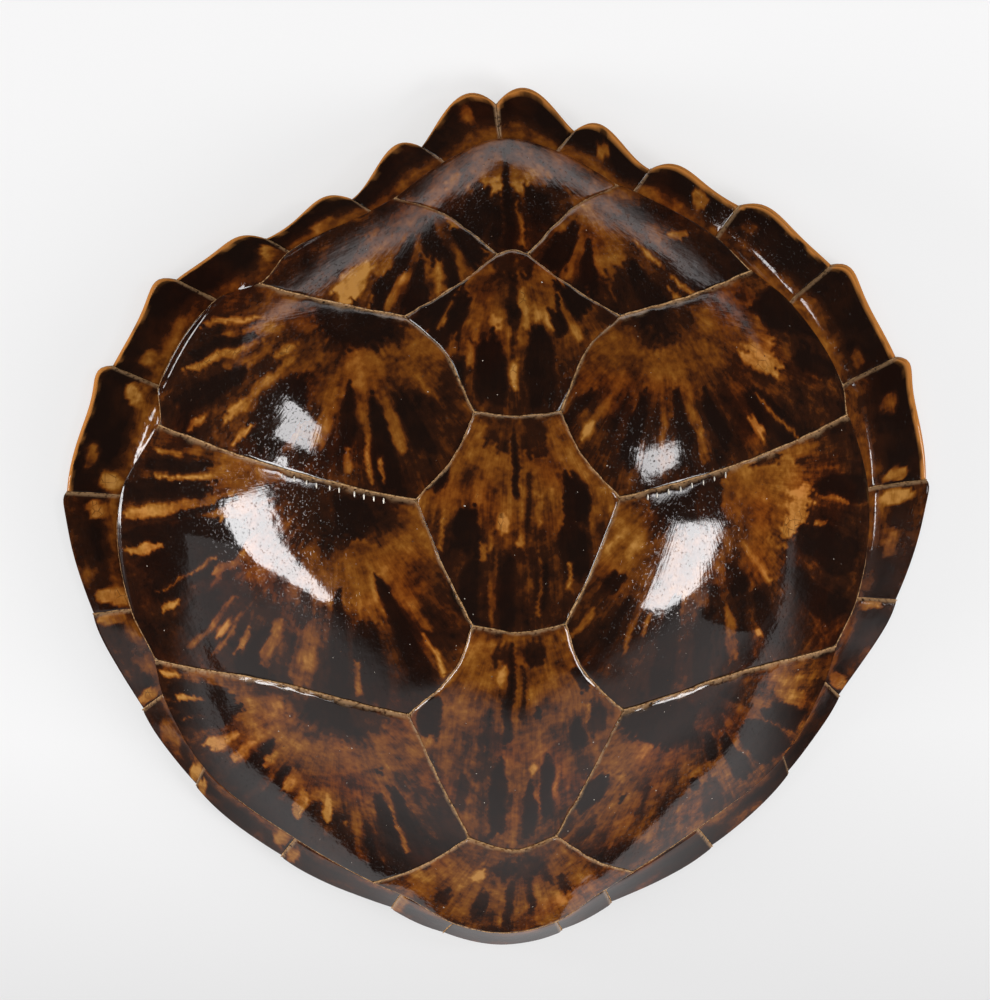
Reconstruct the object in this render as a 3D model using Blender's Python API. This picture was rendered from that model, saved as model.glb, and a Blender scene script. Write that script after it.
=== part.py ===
"""A sea turtle's upper shell, lying on its rim with the back up.

The shell grew as one piece: ribs and plates of bone fused into a dome, with a thin horny cover bonded
to it. So it is one closed body: a dome, a gutter round it, a sawtooth brim outside the gutter, and an
open hollow below. +Y is the tail, -Y the head, +Z up, and the floor is z = 0.
"""
import math

import bmesh
import bpy
from mathutils import Vector

MM = 0.001

CROWN_Y, CROWN_Z = -39.0, 174.5  # the top of the dome, mm
KEEL_HEIGHT, KEEL_WIDTH = 3.5, 24.0  # the low ridge along the back, mm
DOME_POWER, TAIL_POWER = 1.8, 1.05  # how square the dome's section is, and how much more at the tail
TAIL_SKEW, SKEW_FROM, SKEW_OVER = 0.1, 153.0, 100.0  # the tail end leans a little to one side
SWAY, SWAY_FROM, SWAY_OVER = 5.0, 23.0, 200.0  # the rear half bends a little to one side, mm
HEAD_SWAY, HEAD_FROM, HEAD_OVER = 5.0, -40.0, 230.0  # and the front half to the other, mm

WALL = 6.5  # bone and horn together over the dome, mm
GUTTER_WALL, LIP_WALL, RIM_WALL = 12.0, 5.5, 3.4  # the brim is a wedge, thick at the gutter
SPINE_HEIGHT, SPINE_WIDTH = 7.0, 13.0  # the backbone, fused along the inside, mm
FOOT_WIDTH = 7.0  # the flat worn under the rim where the shell rests, mm
FOOT_FROM, FOOT_TO, FOOT_FADE = -18.0, 14.0, 20.0  # its two ends, and its fade, in degrees

# The seams between the brim's plates, from the nape to the tail, for the half at +X, in mm.
# Each row: where the seam leaves the gutter (x, y, z), where it meets the rim (x, y, z), how far the
# plate that ends at this seam reaches past the rim as a lobe, and where along the plate its tip is.
SEAMS = [
    ((0, -280, 60), (0, -299, 22), 0, 0.5),
    ((36, -273, 58), (42, -291, 20), 1, 0.5),
    ((72, -254, 50), (78, -274, 14), 2, 0.6),
    ((141, -215, 38), (153, -236, 8), 1, 0.6),
    ((203, -163, 32), (209, -183, 6), 1, 0.6),
    ((230, -112, 27), (245, -128, 5), 1, 0.7),
    ((252, -54, 21), (281, -59, 4.5), 1, 0.8),
    ((258, 25, 18), (298, 27, 4), 2, 0.93),
    ((234, 99, 19), (269, 114, 6.5), 7, 0.9),
    ((195, 158, 22), (223, 176, 11), 8, 0.85),
    ((144, 197, 29), (160, 211, 18), 8, 0.76),
    ((88, 228, 38), (101, 237, 22), 9, 0.72),
    ((37, 257, 42), (52, 267, 23), 11, 0.68),
    ((0, 268, 44), (0, 290, 22), 13, 0.58),
]

PLATE_STEPS = (0.0, 0.3, 0.55, 0.75, 0.9)  # places along one plate's rim
DOME_RINGS = (0.15, 0.3, 0.45, 0.6, 0.74, 0.86, 0.94, 1.0)  # share of the way from crown to gutter
BRIM_RINGS = (0.5, 1.0)  # share of the way from gutter to rim
INNER_RINGS = (0.92, 0.8, 0.64, 0.46, 0.26)

HORN_COLOUR = (0.16, 0.06, 0.02, 1.0)
HORN_ROUGHNESS = 0.18


def smoothstep(share):
    share = min(max(share, 0.0), 1.0)
    return share * share * (3 - 2 * share)


def about_crown(point, side):
    """A seam point of one half as an angle about the crown, a radius and a height."""
    x, y, z = point
    x *= side
    bend = SWAY * math.sin(math.pi * max(y - SWAY_FROM, 0.0) / SWAY_OVER)
    ahead = min(max((HEAD_FROM - y) / HEAD_OVER, 0.0), 1.0)
    bend -= HEAD_SWAY * math.sin(math.pi * ahead)
    y += TAIL_SKEW * x * smoothstep((y - SKEW_FROM) / SKEW_OVER)
    x += bend
    return math.atan2(y - CROWN_Y, x), math.hypot(x, y - CROWN_Y), z


def whole_loop(column):
    """The gutter's points (column 0) or the rim's (column 1) of both halves, in order of angle."""
    right = [about_crown(row[column], 1) for row in SEAMS]
    left = [about_crown(row[column], -1) for row in SEAMS[1:-1]]
    return sorted(right + left)


def read_loop(loop, angle):
    """The radius and height at an angle, on a smooth closed curve through the loop's points."""
    turn, count = 2 * math.pi, len(loop)
    angle = (angle - loop[0][0]) % turn + loop[0][0]
    at = max(i for i in range(count) if loop[i][0] <= angle)
    knots = []
    for k in range(at - 1, at + 3):
        laps, index = divmod(k, count)
        knots.append((loop[index][0] + laps * turn, *loop[index][1:]))
    before, start, end, after = knots
    span = end[0] - start[0]
    t = (angle - start[0]) / span
    values = []
    for k in (1, 2):
        leave = span * (end[k] - before[k]) / (end[0] - before[0])
        arrive = span * (after[k] - start[k]) / (after[0] - start[0])
        values.append(
            (2 * t**3 - 3 * t**2 + 1) * start[k]
            + (t**3 - 2 * t**2 + t) * leave
            + (3 * t**2 - 2 * t**3) * end[k]
            + (t**3 - t**2) * arrive
        )
    return values


GUTTER = whole_loop(0)
NOTCHES = whole_loop(1)


def height(x, y):
    """The outer surface's height over a place in plan: dome inside the gutter, brim outside it."""
    angle, radius = math.atan2(y - CROWN_Y, x), math.hypot(x, y - CROWN_Y)
    gutter, gutter_z = read_loop(GUTTER, angle)
    share = radius / gutter
    if share > 1:
        rim, rim_z = read_loop(NOTCHES, angle)
        out = (radius - gutter) / (rim - gutter)
        return gutter_z - (gutter_z - rim_z) * (1.25 * out - 0.25 * out**2)
    power = DOME_POWER + TAIL_POWER * ((1 + math.sin(angle)) / 2) ** 2
    keel = KEEL_HEIGHT * math.exp(-((x / KEEL_WIDTH) ** 2)) * (1 - share**4)
    return gutter_z + (CROWN_Z - gutter_z) * (1 - share**power) + keel


def outer_point(angle, radius):
    x, y = radius * math.cos(angle), CROWN_Y + radius * math.sin(angle)
    return Vector((x, y, height(x, y)))


def inner_point(angle, radius, wall, reach=4.0):
    """The point a wall's thickness in from the outer surface, square to its slope."""
    point = outer_point(angle, radius)
    x, y, _ = point
    slope_x = (height(x + reach, y) - height(x - reach, y)) / (2 * reach)
    slope_y = (height(x, y + reach) - height(x, y - reach)) / (2 * reach)
    return point + wall * Vector((slope_x, slope_y, -1)).normalized()


def foot(angle):
    """1 where the rim rests on the floor at either side, fading to 0 towards the head and tail."""
    lean = math.degrees(math.atan2(math.sin(angle), abs(math.cos(angle))))
    outside = max(FOOT_FROM - lean, lean - FOOT_TO, 0)
    return 1 - smoothstep(outside / FOOT_FADE)


def on_floor(point, angle):
    """A point of the rim's underside, brought down to the floor where the shell rests."""
    return Vector((point.x, point.y, max(point.z, 0) * (1 - foot(angle))))


def lobe(share, reach, tip):
    """A plate's reach past the rim at a share of its length: a long rise to the tip, then a short fall."""
    return reach * math.sin(math.pi * share ** (math.log(0.5) / math.log(tip)))


def columns():
    """(angle, rim radius) all round the shell in order of angle, a few for each of the brim's plates."""
    found = {}
    for side in (1, -1):
        angles = [about_crown(row[1], side)[0] for row in SEAMS]
        for row, start, end in zip(SEAMS[1:], angles, angles[1:]):
            plate = math.remainder(end - start, 2 * math.pi)
            for share in PLATE_STEPS:
                angle = math.remainder(start + plate * share, 2 * math.pi)
                found[round(angle, 6)] = lobe(share, *row[2:])
    tail = about_crown(SEAMS[-1][1], 1)[0]
    found[round(tail, 6)] = 0.0
    return [(a, read_loop(NOTCHES, a)[0] + past) for a, past in sorted(found.items())]


def shell_rings():
    """Rings of points from the crown out to the rim, round it, and back under the dome."""
    around = [(a, rim, read_loop(GUTTER, a)[0]) for a, rim in columns()]
    rings = [[outer_point(a, gutter * t) for a, _, gutter in around] for t in DOME_RINGS]
    for s in BRIM_RINGS:
        rings.append([outer_point(a, gutter + (rim - gutter) * s) for a, rim, gutter in around])
    rings.append([on_floor(inner_point(a, rim, RIM_WALL), a) for a, rim, _ in around])
    rings.append([on_floor(inner_point(a, rim - FOOT_WIDTH, LIP_WALL), a) for a, rim, _ in around])
    rings.append([inner_point(a, gutter * 0.985, GUTTER_WALL) for a, _, gutter in around])
    for t in INNER_RINGS:
        rings.append([inner_point(a, gutter * t, inner_wall(a, gutter * t)) for a, _, gutter in around])
    return rings


def inner_wall(angle, radius):
    across = radius * math.cos(angle)
    return WALL + SPINE_HEIGHT * math.exp(-((across / SPINE_WIDTH) ** 2))


def carapace_mesh():
    """One closed body: bands of quads between the rings, with a fan at the crown, outside and in."""
    bm = bmesh.new()
    rings = [[bm.verts.new(p * MM) for p in ring] for ring in shell_rings()]
    crown = bm.verts.new(outer_point(0.0, 0.0) * MM)
    crown_inside = bm.verts.new(inner_point(0.0, 0.0, inner_wall(0.0, 0.0)) * MM)
    count = len(rings[0])
    for j in range(count):
        k = (j + 1) % count
        bm.faces.new((crown, rings[0][j], rings[0][k]))
        bm.faces.new((crown_inside, rings[-1][k], rings[-1][j]))
        for inside, outside in zip(rings, rings[1:]):
            bm.faces.new((inside[j], outside[j], outside[k], inside[k]))
    bmesh.ops.triangulate(bm, faces=bm.faces[:])
    bmesh.ops.recalc_face_normals(bm, faces=bm.faces[:])
    mesh = bpy.data.meshes.new("carapace")
    bm.to_mesh(mesh)
    bm.free()
    mesh.shade_smooth()
    mesh.set_sharp_from_angle(angle=math.radians(50))
    return mesh


def horn_material():
    material = bpy.data.materials.new("lacquered_horn")
    material.use_nodes = True
    shader = material.node_tree.nodes["Principled BSDF"]
    shader.inputs["Base Color"].default_value = HORN_COLOUR
    shader.inputs["Roughness"].default_value = HORN_ROUGHNESS
    shader.inputs["Metallic"].default_value = 0.0
    return material


def main():
    for old in list(bpy.data.objects):
        bpy.data.objects.remove(old, do_unlink=True)
    mesh = carapace_mesh()
    mesh.materials.append(horn_material())
    carapace = bpy.data.objects.new("carapace", mesh)
    bpy.context.scene.collection.objects.link(carapace)


main()
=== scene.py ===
# %% [markdown]
# # A lacquered sea turtle shell
# This is the upper shell of a hawksbill turtle, lying on its rim. Its bone dome is covered by 38 horny
# plates that overlap like roof tiles: 5 down the back, 4 beside them on each side, and 25 round the brim.
# The mottled horn is what is called tortoiseshell, and here it is under clear lacquer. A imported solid
# gives the size and place of the shell. This script grows the plates, the bone and the finish on it.

import math

import bpy
import numpy as np
from mathutils import Matrix, Quaternion, Vector, noise
from mathutils.bvhtree import BVHTree
from mathutils.geometry import delaunay_2d_cdt


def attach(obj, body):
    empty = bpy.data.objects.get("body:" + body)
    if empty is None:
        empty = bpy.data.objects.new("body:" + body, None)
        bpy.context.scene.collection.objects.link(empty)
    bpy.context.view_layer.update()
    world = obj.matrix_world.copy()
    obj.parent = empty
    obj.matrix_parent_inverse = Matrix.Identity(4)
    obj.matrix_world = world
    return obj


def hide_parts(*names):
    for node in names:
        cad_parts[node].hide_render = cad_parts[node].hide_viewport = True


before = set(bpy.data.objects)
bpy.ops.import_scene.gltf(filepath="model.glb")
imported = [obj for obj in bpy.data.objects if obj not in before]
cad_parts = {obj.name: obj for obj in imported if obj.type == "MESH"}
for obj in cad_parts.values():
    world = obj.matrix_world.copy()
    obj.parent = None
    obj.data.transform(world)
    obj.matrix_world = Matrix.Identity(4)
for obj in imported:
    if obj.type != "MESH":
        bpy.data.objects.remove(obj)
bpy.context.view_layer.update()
MM = 0.001

# %% [markdown]
# ## The shape that everything follows
# A turtle's shell is measured from its seams. The table gives, for the half at +X, where each seam of the
# brim leaves the gutter and where it meets the rim, in millimetres. One smooth closed curve runs through
# the gutter's points and one through the rim's, both read as a radius and a height at an angle about the
# crown. A height field was chosen rather than a sculpt, because every plate, rib and seam can ask it for
# a point, so nothing has to be fitted to anything else.

# %% The seam table and the closed curves
CROWN_Y, CROWN_Z = -39.0, 174.5  # the highest point of the dome, mm
KEEL_HEIGHT, KEEL_WIDTH = 3.5, 24.0  # the low ridge down the middle, mm
DOME_POWER, TAIL_POWER = 1.8, 1.05  # how full the dome is, and how much fuller towards the tail
BRIM_BEND = 0.25  # the brim is steeper at the gutter by this share, and flatter by as much at the rim
TAIL_SKEW, SKEW_FROM, SKEW_OVER = 0.1, 153.0, 100.0  # the tail is turned a little to one side
SWAY, SWAY_FROM, SWAY_OVER = 5.0, 23.0, 200.0  # and the shell sways one way behind the middle, mm
HEAD_SWAY, HEAD_FROM, HEAD_OVER = 5.0, -40.0, 230.0  # and the other way ahead of it, mm

# (gutter x, y, z), (rim x, y, z), then the reach and the place of the lobe of the plate that ends here
SEAMS = [
    ((0, -280, 60), (0, -299, 22), 0, 0.5),
    ((36, -273, 58), (42, -291, 20), 1, 0.5),
    ((72, -254, 50), (78, -274, 14), 2, 0.6),
    ((141, -215, 38), (153, -236, 8), 1, 0.6),
    ((203, -163, 32), (209, -183, 6), 1, 0.6),
    ((230, -112, 27), (245, -128, 5), 1, 0.7),
    ((252, -54, 21), (281, -59, 4.5), 1, 0.8),
    ((258, 25, 18), (298, 27, 4), 2, 0.93),
    ((234, 99, 19), (269, 114, 6.5), 7, 0.9),
    ((195, 158, 22), (223, 176, 11), 8, 0.85),
    ((144, 197, 29), (160, 211, 18), 8, 0.76),
    ((88, 228, 38), (101, 237, 22), 9, 0.72),
    ((37, 257, 42), (52, 267, 23), 11, 0.68),
    ((0, 268, 44), (0, 290, 22), 13, 0.58),
]
TURN = 2 * math.pi


def smoothstep(share):
    share = np.clip(share, 0.0, 1.0)
    return share * share * (3 - 2 * share)


def about_crown(point, side):
    """A seam point of one half as an angle about the crown, a radius and a height."""
    x, y, z = point
    x *= side
    bend = SWAY * math.sin(math.pi * max(y - SWAY_FROM, 0.0) / SWAY_OVER)
    ahead = min(max((HEAD_FROM - y) / HEAD_OVER, 0.0), 1.0)
    bend -= HEAD_SWAY * math.sin(math.pi * ahead)
    y += TAIL_SKEW * x * float(smoothstep((y - SKEW_FROM) / SKEW_OVER))
    x += bend
    return math.atan2(y - CROWN_Y, x), math.hypot(x, y - CROWN_Y), z


def seam_knots(column):
    """The points of one column of the seam table all round the shell, in order of angle."""
    right = [about_crown(row[column], 1) for row in SEAMS]
    left = [about_crown(row[column], -1) for row in SEAMS[1:-1]]
    return sorted(right + left)


def cubic_shares(t):
    """How much a smooth cubic takes, at t from 0 to 1, of its start, slope there, end and slope there."""
    return 2 * t**3 - 3 * t**2 + 1, t**3 - 2 * t**2 + t, 3 * t**2 - 2 * t**3, t**3 - t**2


def closed_curve(knots, samples=2880):
    """Many angles, with the values there, on a smooth closed curve through a few of them."""
    knots = np.array(knots)
    lap = np.zeros(knots.shape[1])
    lap[0] = TURN
    knots = np.concatenate([knots - lap, knots, knots + lap])
    angle = np.linspace(-math.pi, math.pi, samples + 1)
    at = np.searchsorted(knots[:, 0], angle, side="right") - 1
    before, start, end, after = (knots[at + k] for k in (-1, 0, 1, 2))
    span = (end - start)[:, :1]
    t = (angle[:, None] - start[:, :1]) / span
    leave = span * (end - before) / (end - before)[:, :1]
    arrive = span * (after - start) / (after - start)[:, :1]
    at_start, leaving, at_end, arriving = cubic_shares(t)
    value = at_start * start + leaving * leave
    value += at_end * end + arriving * arrive
    return [angle, *value[:, 1:].T]


GUTTER = closed_curve(seam_knots(0))
NOTCHES = closed_curve(seam_knots(1))
RADIUS, HEIGHT = 1, 2


def read_curve(curve, column, angle):
    """One column of a closed curve, read at any angles."""
    wrapped = (np.asarray(angle) + math.pi) % TURN - math.pi
    return np.interp(wrapped, curve[0], curve[column])


# %% The outer surface
def height(x, y):
    """The height of the shell over a place in plan: dome inside the gutter, brim outside it."""
    angle, radius = np.arctan2(y - CROWN_Y, x), np.hypot(x, y - CROWN_Y)
    gutter, gutter_z = read_curve(GUTTER, RADIUS, angle), read_curve(GUTTER, HEIGHT, angle)
    rim, rim_z = read_curve(NOTCHES, RADIUS, angle), read_curve(NOTCHES, HEIGHT, angle)
    out = np.maximum(radius - gutter, 0) / (rim - gutter)
    brim = gutter_z - (gutter_z - rim_z) * ((1 + BRIM_BEND) * out - BRIM_BEND * out**2)
    share = np.minimum(radius / gutter, 1)
    power = DOME_POWER + TAIL_POWER * ((1 + np.sin(angle)) / 2) ** 2
    keel = KEEL_HEIGHT * np.exp(-((x / KEEL_WIDTH) ** 2)) * (1 - share**4)
    dome = gutter_z + (CROWN_Z - gutter_z) * (1 - share**power) + keel
    return np.where(radius > gutter, brim, dome)


def outward(x, y, reach=3.0):
    """The unit vectors square to the outer surface, from its slope over a short reach."""
    slope_x = (height(x + reach, y) - height(x - reach, y)) / (2 * reach)
    slope_y = (height(x, y + reach) - height(x, y - reach)) / (2 * reach)
    way = np.stack([-slope_x, -slope_y, np.ones_like(slope_x)], axis=-1)
    return way / np.linalg.norm(way, axis=-1, keepdims=True)


def on_shell(plan, lift):
    """Points over places in plan, lifted off the outer surface (or sunk, where lift is negative)."""
    x, y = plan[..., 0], plan[..., 1]
    base = np.stack([x, y, height(x, y)], axis=-1)
    return base + outward(x, y) * np.broadcast_to(lift, x.shape)[..., None]


crown = on_shell(np.array([0.0, CROWN_Y]), 0.0)
print("crown, mm:", crown.round(1))

# %% [markdown]
# ## The seams between the plates of the back
# Each plate of the dome is a polygon with curved sides, and neighbours share a side. So the sides are
# drawn once, by name, between named junctions, and each plate is a list of sides. A side is three points
# and a smooth curve through them, and one table serves both halves, turned over at the middle. Horn grows
# and wears unevenly, so a slow wander of under a millimetre is added, which is different on each seam.

# %% Junctions and seam lines
# name: half the distance between the left and right junction, and how far towards the tail, in mm
STATIONS = {
    "v1_front": (85, -230), "v1_v2": (30, -190), "v2_side": (70, -95), "v2_v3": (30, -30),
    "v3_side": (65, 50), "v3_v4": (28, 105), "v4_side": (70, 160), "v4_v5": (10, 200),
    "v5_rear": (75, 235), "c1_c2": (230, -85), "c2_c3": (230, 75), "c3_c4": (165, 175),
}
JUNCTIONS = {name: ((-half, y), (half, y)) for name, (half, y) in STATIONS.items()}
# seams that cross the back: the junction at both ends, and how far the middle swings towards the tail, mm
CROSS_SEAMS = {
    "v1|v2": ("v1_v2", -8), "v2|v3": ("v2_v3", -4), "v3|v4": ("v3_v4", -2), "v4|v5": ("v4_v5", 3),
}
# seams of each half: start, end, and how far the middle swings outwards and towards the tail, mm
SIDE_SEAMS = {
    "v1|c1": ("v1_v2", "v1_front", 0, -5), "c1|v2": ("v2_side", "v1_v2", 1, 0),
    "v2|c2": ("v2_v3", "v2_side", -8, 0), "c2|v3": ("v3_side", "v2_v3", 2, 0),
    "v3|c3": ("v3_v4", "v3_side", -6, 0), "c3|v4": ("v4_side", "v3_v4", -3, 8),
    "v4|c4": ("v4_v5", "v4_side", 0, -2), "c4|v5": ("v4_v5", "v5_rear", 0, 7),
    "c1|c2": ("v2_side", "c1_c2", 0, 8), "c2|c3": ("v3_side", "c2_c3", 0, -1),
    "c3|c4": ("v4_side", "c3_c4", 0, -1),
}
SEAM_STEP = 2.0  # between points along a seam, mm
WANDER, WANDER_OVER, WANDER_SEED = 0.7, 11.0, 3.1  # how far a seam strays, and over what length, mm
WANDER_FADE = 6.0  # and within what length of its ends it stops, mm


def smooth_path(points, step=SEAM_STEP):
    """Points about a step apart on a smooth curve through a few given points."""
    p = np.asarray(points, float)
    p = np.concatenate([[2 * p[0] - p[1]], p, [2 * p[-1] - p[-2]]])
    found = []
    for before, start, end, after in zip(p, p[1:], p[2:], p[3:]):
        count = max(2, int(np.hypot(*(end - start)[:2]) / step))
        t = np.arange(count)[:, None] / count
        leave, arrive = (end - before) / 2, (after - start) / 2
        at_start, leaving, at_end, arriving = cubic_shares(t)
        found.append(at_start * start + leaving * leave + at_end * end + arriving * arrive)
    return np.concatenate(found + [p[-2:-1]])


def wandering(path):
    """The path, strayed a little sideways, but not at its ends, where seams meet."""
    along = np.concatenate([[0], np.cumsum(np.hypot(*np.diff(path, axis=0).T))])
    ends = smoothstep(np.minimum(along, along[-1] - along) / WANDER_FADE)
    stray = [noise.noise_vector(Vector((*p, WANDER_SEED)) / WANDER_OVER)[:2] for p in path]
    return path + WANDER * ends[:, None] * np.array(stray)


LEFT, RIGHT = 0, 1
# How far the seam round the dome lies inside the gutter, left and right, in mm: it swings in where two
# costal plates meet, and out where two plates of the brim meet.
INSIDE_AT_JUNCTIONS = {
    "v1_front": (0, 3), "c1_c2": (4, 6), "c2_c3": (7, 10), "c3_c4": (5, 7), "v5_rear": (1, 4),
}
INSIDE_AT_SEAMS = [  # in the order of the seam table
    (0, 0), (0, 0), (1, 1), (-1, 2), (0, 0), (0, 0), (-2, 3),
    (-2, 5), (-3, 5), (-2, 5), (-2, 3), (0, 3), (0, 1), (0, 0),
]


def round_seam():
    """The seam between the dome's plates and the brim's, as a closed curve of angle and inset."""
    knots = []
    for half, side in ((LEFT, -1), (RIGHT, 1)):
        for junction, insets in INSIDE_AT_JUNCTIONS.items():
            x, y = JUNCTIONS[junction][half]
            knots.append((math.atan2(y - CROWN_Y, x), insets[half]))
        for (gutter_point, *_), insets in zip(SEAMS, INSIDE_AT_SEAMS):
            if gutter_point[0] or half == RIGHT:  # a point on the middle line is taken once
                knots.append((about_crown(gutter_point, side)[0], insets[half]))
    return closed_curve(sorted(knots))


INSET = 1  # the column of this curve that holds its distance inside the gutter
ROUND_SEAM = round_seam()


def seam_radius(angle):
    """How far from the crown the seam between the dome and the brim lies."""
    return read_curve(GUTTER, RADIUS, angle) - read_curve(ROUND_SEAM, INSET, angle)


def on_gutter(x, y):
    """The point of the seam round the dome in the same direction from the crown."""
    angle = math.atan2(y - CROWN_Y, x)
    radius = float(seam_radius(angle))
    return radius * math.cos(angle), CROWN_Y + radius * math.sin(angle)


for name in INSIDE_AT_JUNCTIONS:
    JUNCTIONS[name] = tuple(on_gutter(*point) for point in JUNCTIONS[name])

seams = {}
for name, (junction, swing) in CROSS_SEAMS.items():
    start, end = JUNCTIONS[junction]
    seams[name] = wandering(smooth_path([start, (0, start[1] + swing), end]))
for name, (start, end, outward_swing, tail_swing) in SIDE_SEAMS.items():
    for half, side, tag in ((LEFT, -1, "left"), (RIGHT, 1, "right")):
        first, last = JUNCTIONS[start][half], JUNCTIONS[end][half]
        middle_x = (first[0] + last[0]) / 2 + side * outward_swing
        middle_y = (first[1] + last[1]) / 2 + tail_swing
        seams[f"{name} {tag}"] = wandering(smooth_path([first, (middle_x, middle_y), last]))


MEAN_RADIUS = 260  # about how far the gutter lies from the crown, mm


def gutter_arc(start, end):
    """The gutter from one of its points to another, the short way round."""
    angles = [math.atan2(y - CROWN_Y, x) for x, y in (start, end)]
    sweep = math.remainder(angles[1] - angles[0], TURN)
    count = max(3, int(abs(sweep) * MEAN_RADIUS / SEAM_STEP))
    angle = angles[0] + sweep * np.linspace(0, 1, count + 1)
    radius = seam_radius(angle)
    return np.stack([radius * np.cos(angle), CROWN_Y + radius * np.sin(angle)], axis=1)


print(len(seams), "seams on the dome,", sum(len(s) for s in seams.values()), "points")

# %% [markdown]
# ## The plates of the back
# The five vertebral plates run down the middle and four costal plates lie at each side of them. Every
# plate is thin where it is tucked under the one in front and thick at its rear lip, so each seam is a
# small step. A plate is cut in plan as a net of triangles inside its outline, fine near the edge where
# the bevel is and even inside, then lifted square to the dome. A triangulated net was chosen over a
# grid, because a grid can't follow an outline of five or six sides without pinched corners.

# %% Outlines of the thirteen plates of the back
# the first plate named in a seam overlaps the second
VERTEBRALS = {
    "V1": ["v1|v2", "v1|c1 right", "front", "v1|c1 left"],
    "V2": ["v2|v3", "v2|c2 right", "c1|v2 right", "v1|v2", "c1|v2 left", "v2|c2 left"],
    "V3": ["v3|v4", "v3|c3 right", "c2|v3 right", "v2|v3", "c2|v3 left", "v3|c3 left"],
    "V4": ["v4|v5", "v4|c4 right", "c3|v4 right", "v3|v4", "c3|v4 left", "v4|c4 left"],
    "V5": ["v4|v5", "c4|v5 right", "tail", "c4|v5 left"],
}
COSTALS = {
    "C1": ["c1|c2", "brim c1", "v1|c1", "c1|v2"],
    "C2": ["c2|c3", "brim c2", "c1|c2", "v2|c2", "c2|v3"],
    "C3": ["c3|c4", "brim c3", "c2|c3", "v3|c3", "c3|v4"],
    "C4": ["c4|v5", "brim c4", "c3|c4", "v4|c4"],
}
GUTTER_ENDS = {
    "brim c1": ("v1_front", "c1_c2"),
    "brim c2": ("c1_c2", "c2_c3"),
    "brim c3": ("c2_c3", "c3_c4"),
    "brim c4": ("c3_c4", "v5_rear"),
}
for half, tag in ((LEFT, "left"), (RIGHT, "right")):
    for name, (start, end) in GUTTER_ENDS.items():
        seams[f"{name} {tag}"] = gutter_arc(JUNCTIONS[start][half], JUNCTIONS[end][half])
seams["front"] = gutter_arc(*JUNCTIONS["v1_front"])
seams["tail"] = gutter_arc(*JUNCTIONS["v5_rear"])

back_plates = dict(VERTEBRALS)
for tag in ("left", "right"):
    for name, sides in COSTALS.items():
        back_plates[f"{name}_{tag}"] = [f"{side} {tag}" for side in sides]


def outline(sides):
    """The sides joined end to end into one loop that runs anticlockwise."""
    loop = seams[sides[0]]
    for side in sides[1:]:
        path = seams[side]
        if np.hypot(*(path[-1] - loop[-1])) < np.hypot(*(path[0] - loop[-1])):
            path = path[::-1]
        loop = np.concatenate([loop, path[1:]])
    loop = loop[:-1]
    x, y = loop.T
    clockwise = np.sum(x * np.roll(y, -1) - y * np.roll(x, -1)) < 0
    return loop[::-1] if clockwise else loop


def noise_at(points, size, seed):
    """Smooth noise, about -1 to 1, with features of the given size."""
    return np.array([noise.noise(Vector((*p[:2], seed)) / size) for p in points])


def distance_to(path, points):
    """How far each point is from a path, and how far along the path its nearest place is."""
    start, step = path[:-1], np.diff(path, axis=0)
    away = points[:, None, :] - start[None]
    share = np.clip(np.sum(away * step, axis=2) / np.sum(step * step, axis=1), 0, 1)
    gap = np.linalg.norm(away - share[..., None] * step, axis=2)
    nearest = np.argmin(gap, axis=1)
    lengths = np.concatenate([[0], np.cumsum(np.linalg.norm(step, axis=1))])
    row = np.arange(len(points))
    along = lengths[nearest] + share[row, nearest] * np.linalg.norm(step, axis=1)[nearest]
    return gap[row, nearest], along


# %% A net of triangles inside an outline
GRID_STEP = 2.1  # between points inside a plate, mm
SEAM_GAP = 0.15  # each plate stops this far short of the seam, mm
CROWDED = 0.93  # points nearer to the edge than this share of their row's depth are dropped
EDGE_ROWS = (0.55, 1.2, 2.1, 3.3, 4.9)  # rows of points that shape the bevel, mm in from the edge


def inset(loop, depth):
    """The loop moved inwards, without the points that crowd where it turns."""
    ahead = np.roll(loop, -1, axis=0) - np.roll(loop, 1, axis=0)
    inward = np.stack([-ahead[:, 1], ahead[:, 0]], axis=1)
    moved = loop + depth * inward / np.linalg.norm(inward, axis=1, keepdims=True)
    gap, _ = distance_to(np.concatenate([loop, loop[:1]]), moved)
    return moved[gap > CROWDED * depth]


def inside(loop, points):
    """Which of the points lie inside the loop."""
    x, y = points.T
    found = np.zeros(len(points), bool)
    for (x0, y0), (x1, y1) in zip(loop, np.roll(loop, -1, axis=0)):
        if y0 != y1:
            found ^= ((y0 > y) != (y1 > y)) & (x < x0 + (x1 - x0) * (y - y0) / (y1 - y0))
    return found


def hex_grid(loop, step=GRID_STEP):
    """Evenly spread points over the box of a loop."""
    low, high = loop.min(axis=0), loop.max(axis=0)
    rows = np.arange(low[1], high[1], step * math.sqrt(0.75))
    columns = np.arange(low[0], high[0], step)
    x, y = np.meshgrid(columns, rows)
    x[1::2] += step / 2
    return np.stack([x.ravel(), y.ravel()], axis=1)


def plate_net(loop):
    """Places in plan and the triangles between them, filling the loop."""
    edge = inset(loop, SEAM_GAP)
    closed = np.concatenate([loop, loop[:1]])
    rows = [inset(loop, depth) for depth in EDGE_ROWS]
    grid = hex_grid(loop)
    grid = grid[inside(loop, grid)]
    grid = grid[distance_to(closed, grid)[0] > EDGE_ROWS[-1] + 0.7 * GRID_STEP]
    places = np.concatenate([edge, *rows, grid])
    rim = list(range(len(edge)))
    found = delaunay_2d_cdt([Vector(p) for p in places], [], [rim], 1, 1e-4)
    return np.array([tuple(v) for v in found[0]]), [tuple(f) for f in found[2]]


places, triangles = plate_net(outline(back_plates["V3"]))
print("the net of V3:", len(places), "places,", len(triangles), "triangles")

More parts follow.
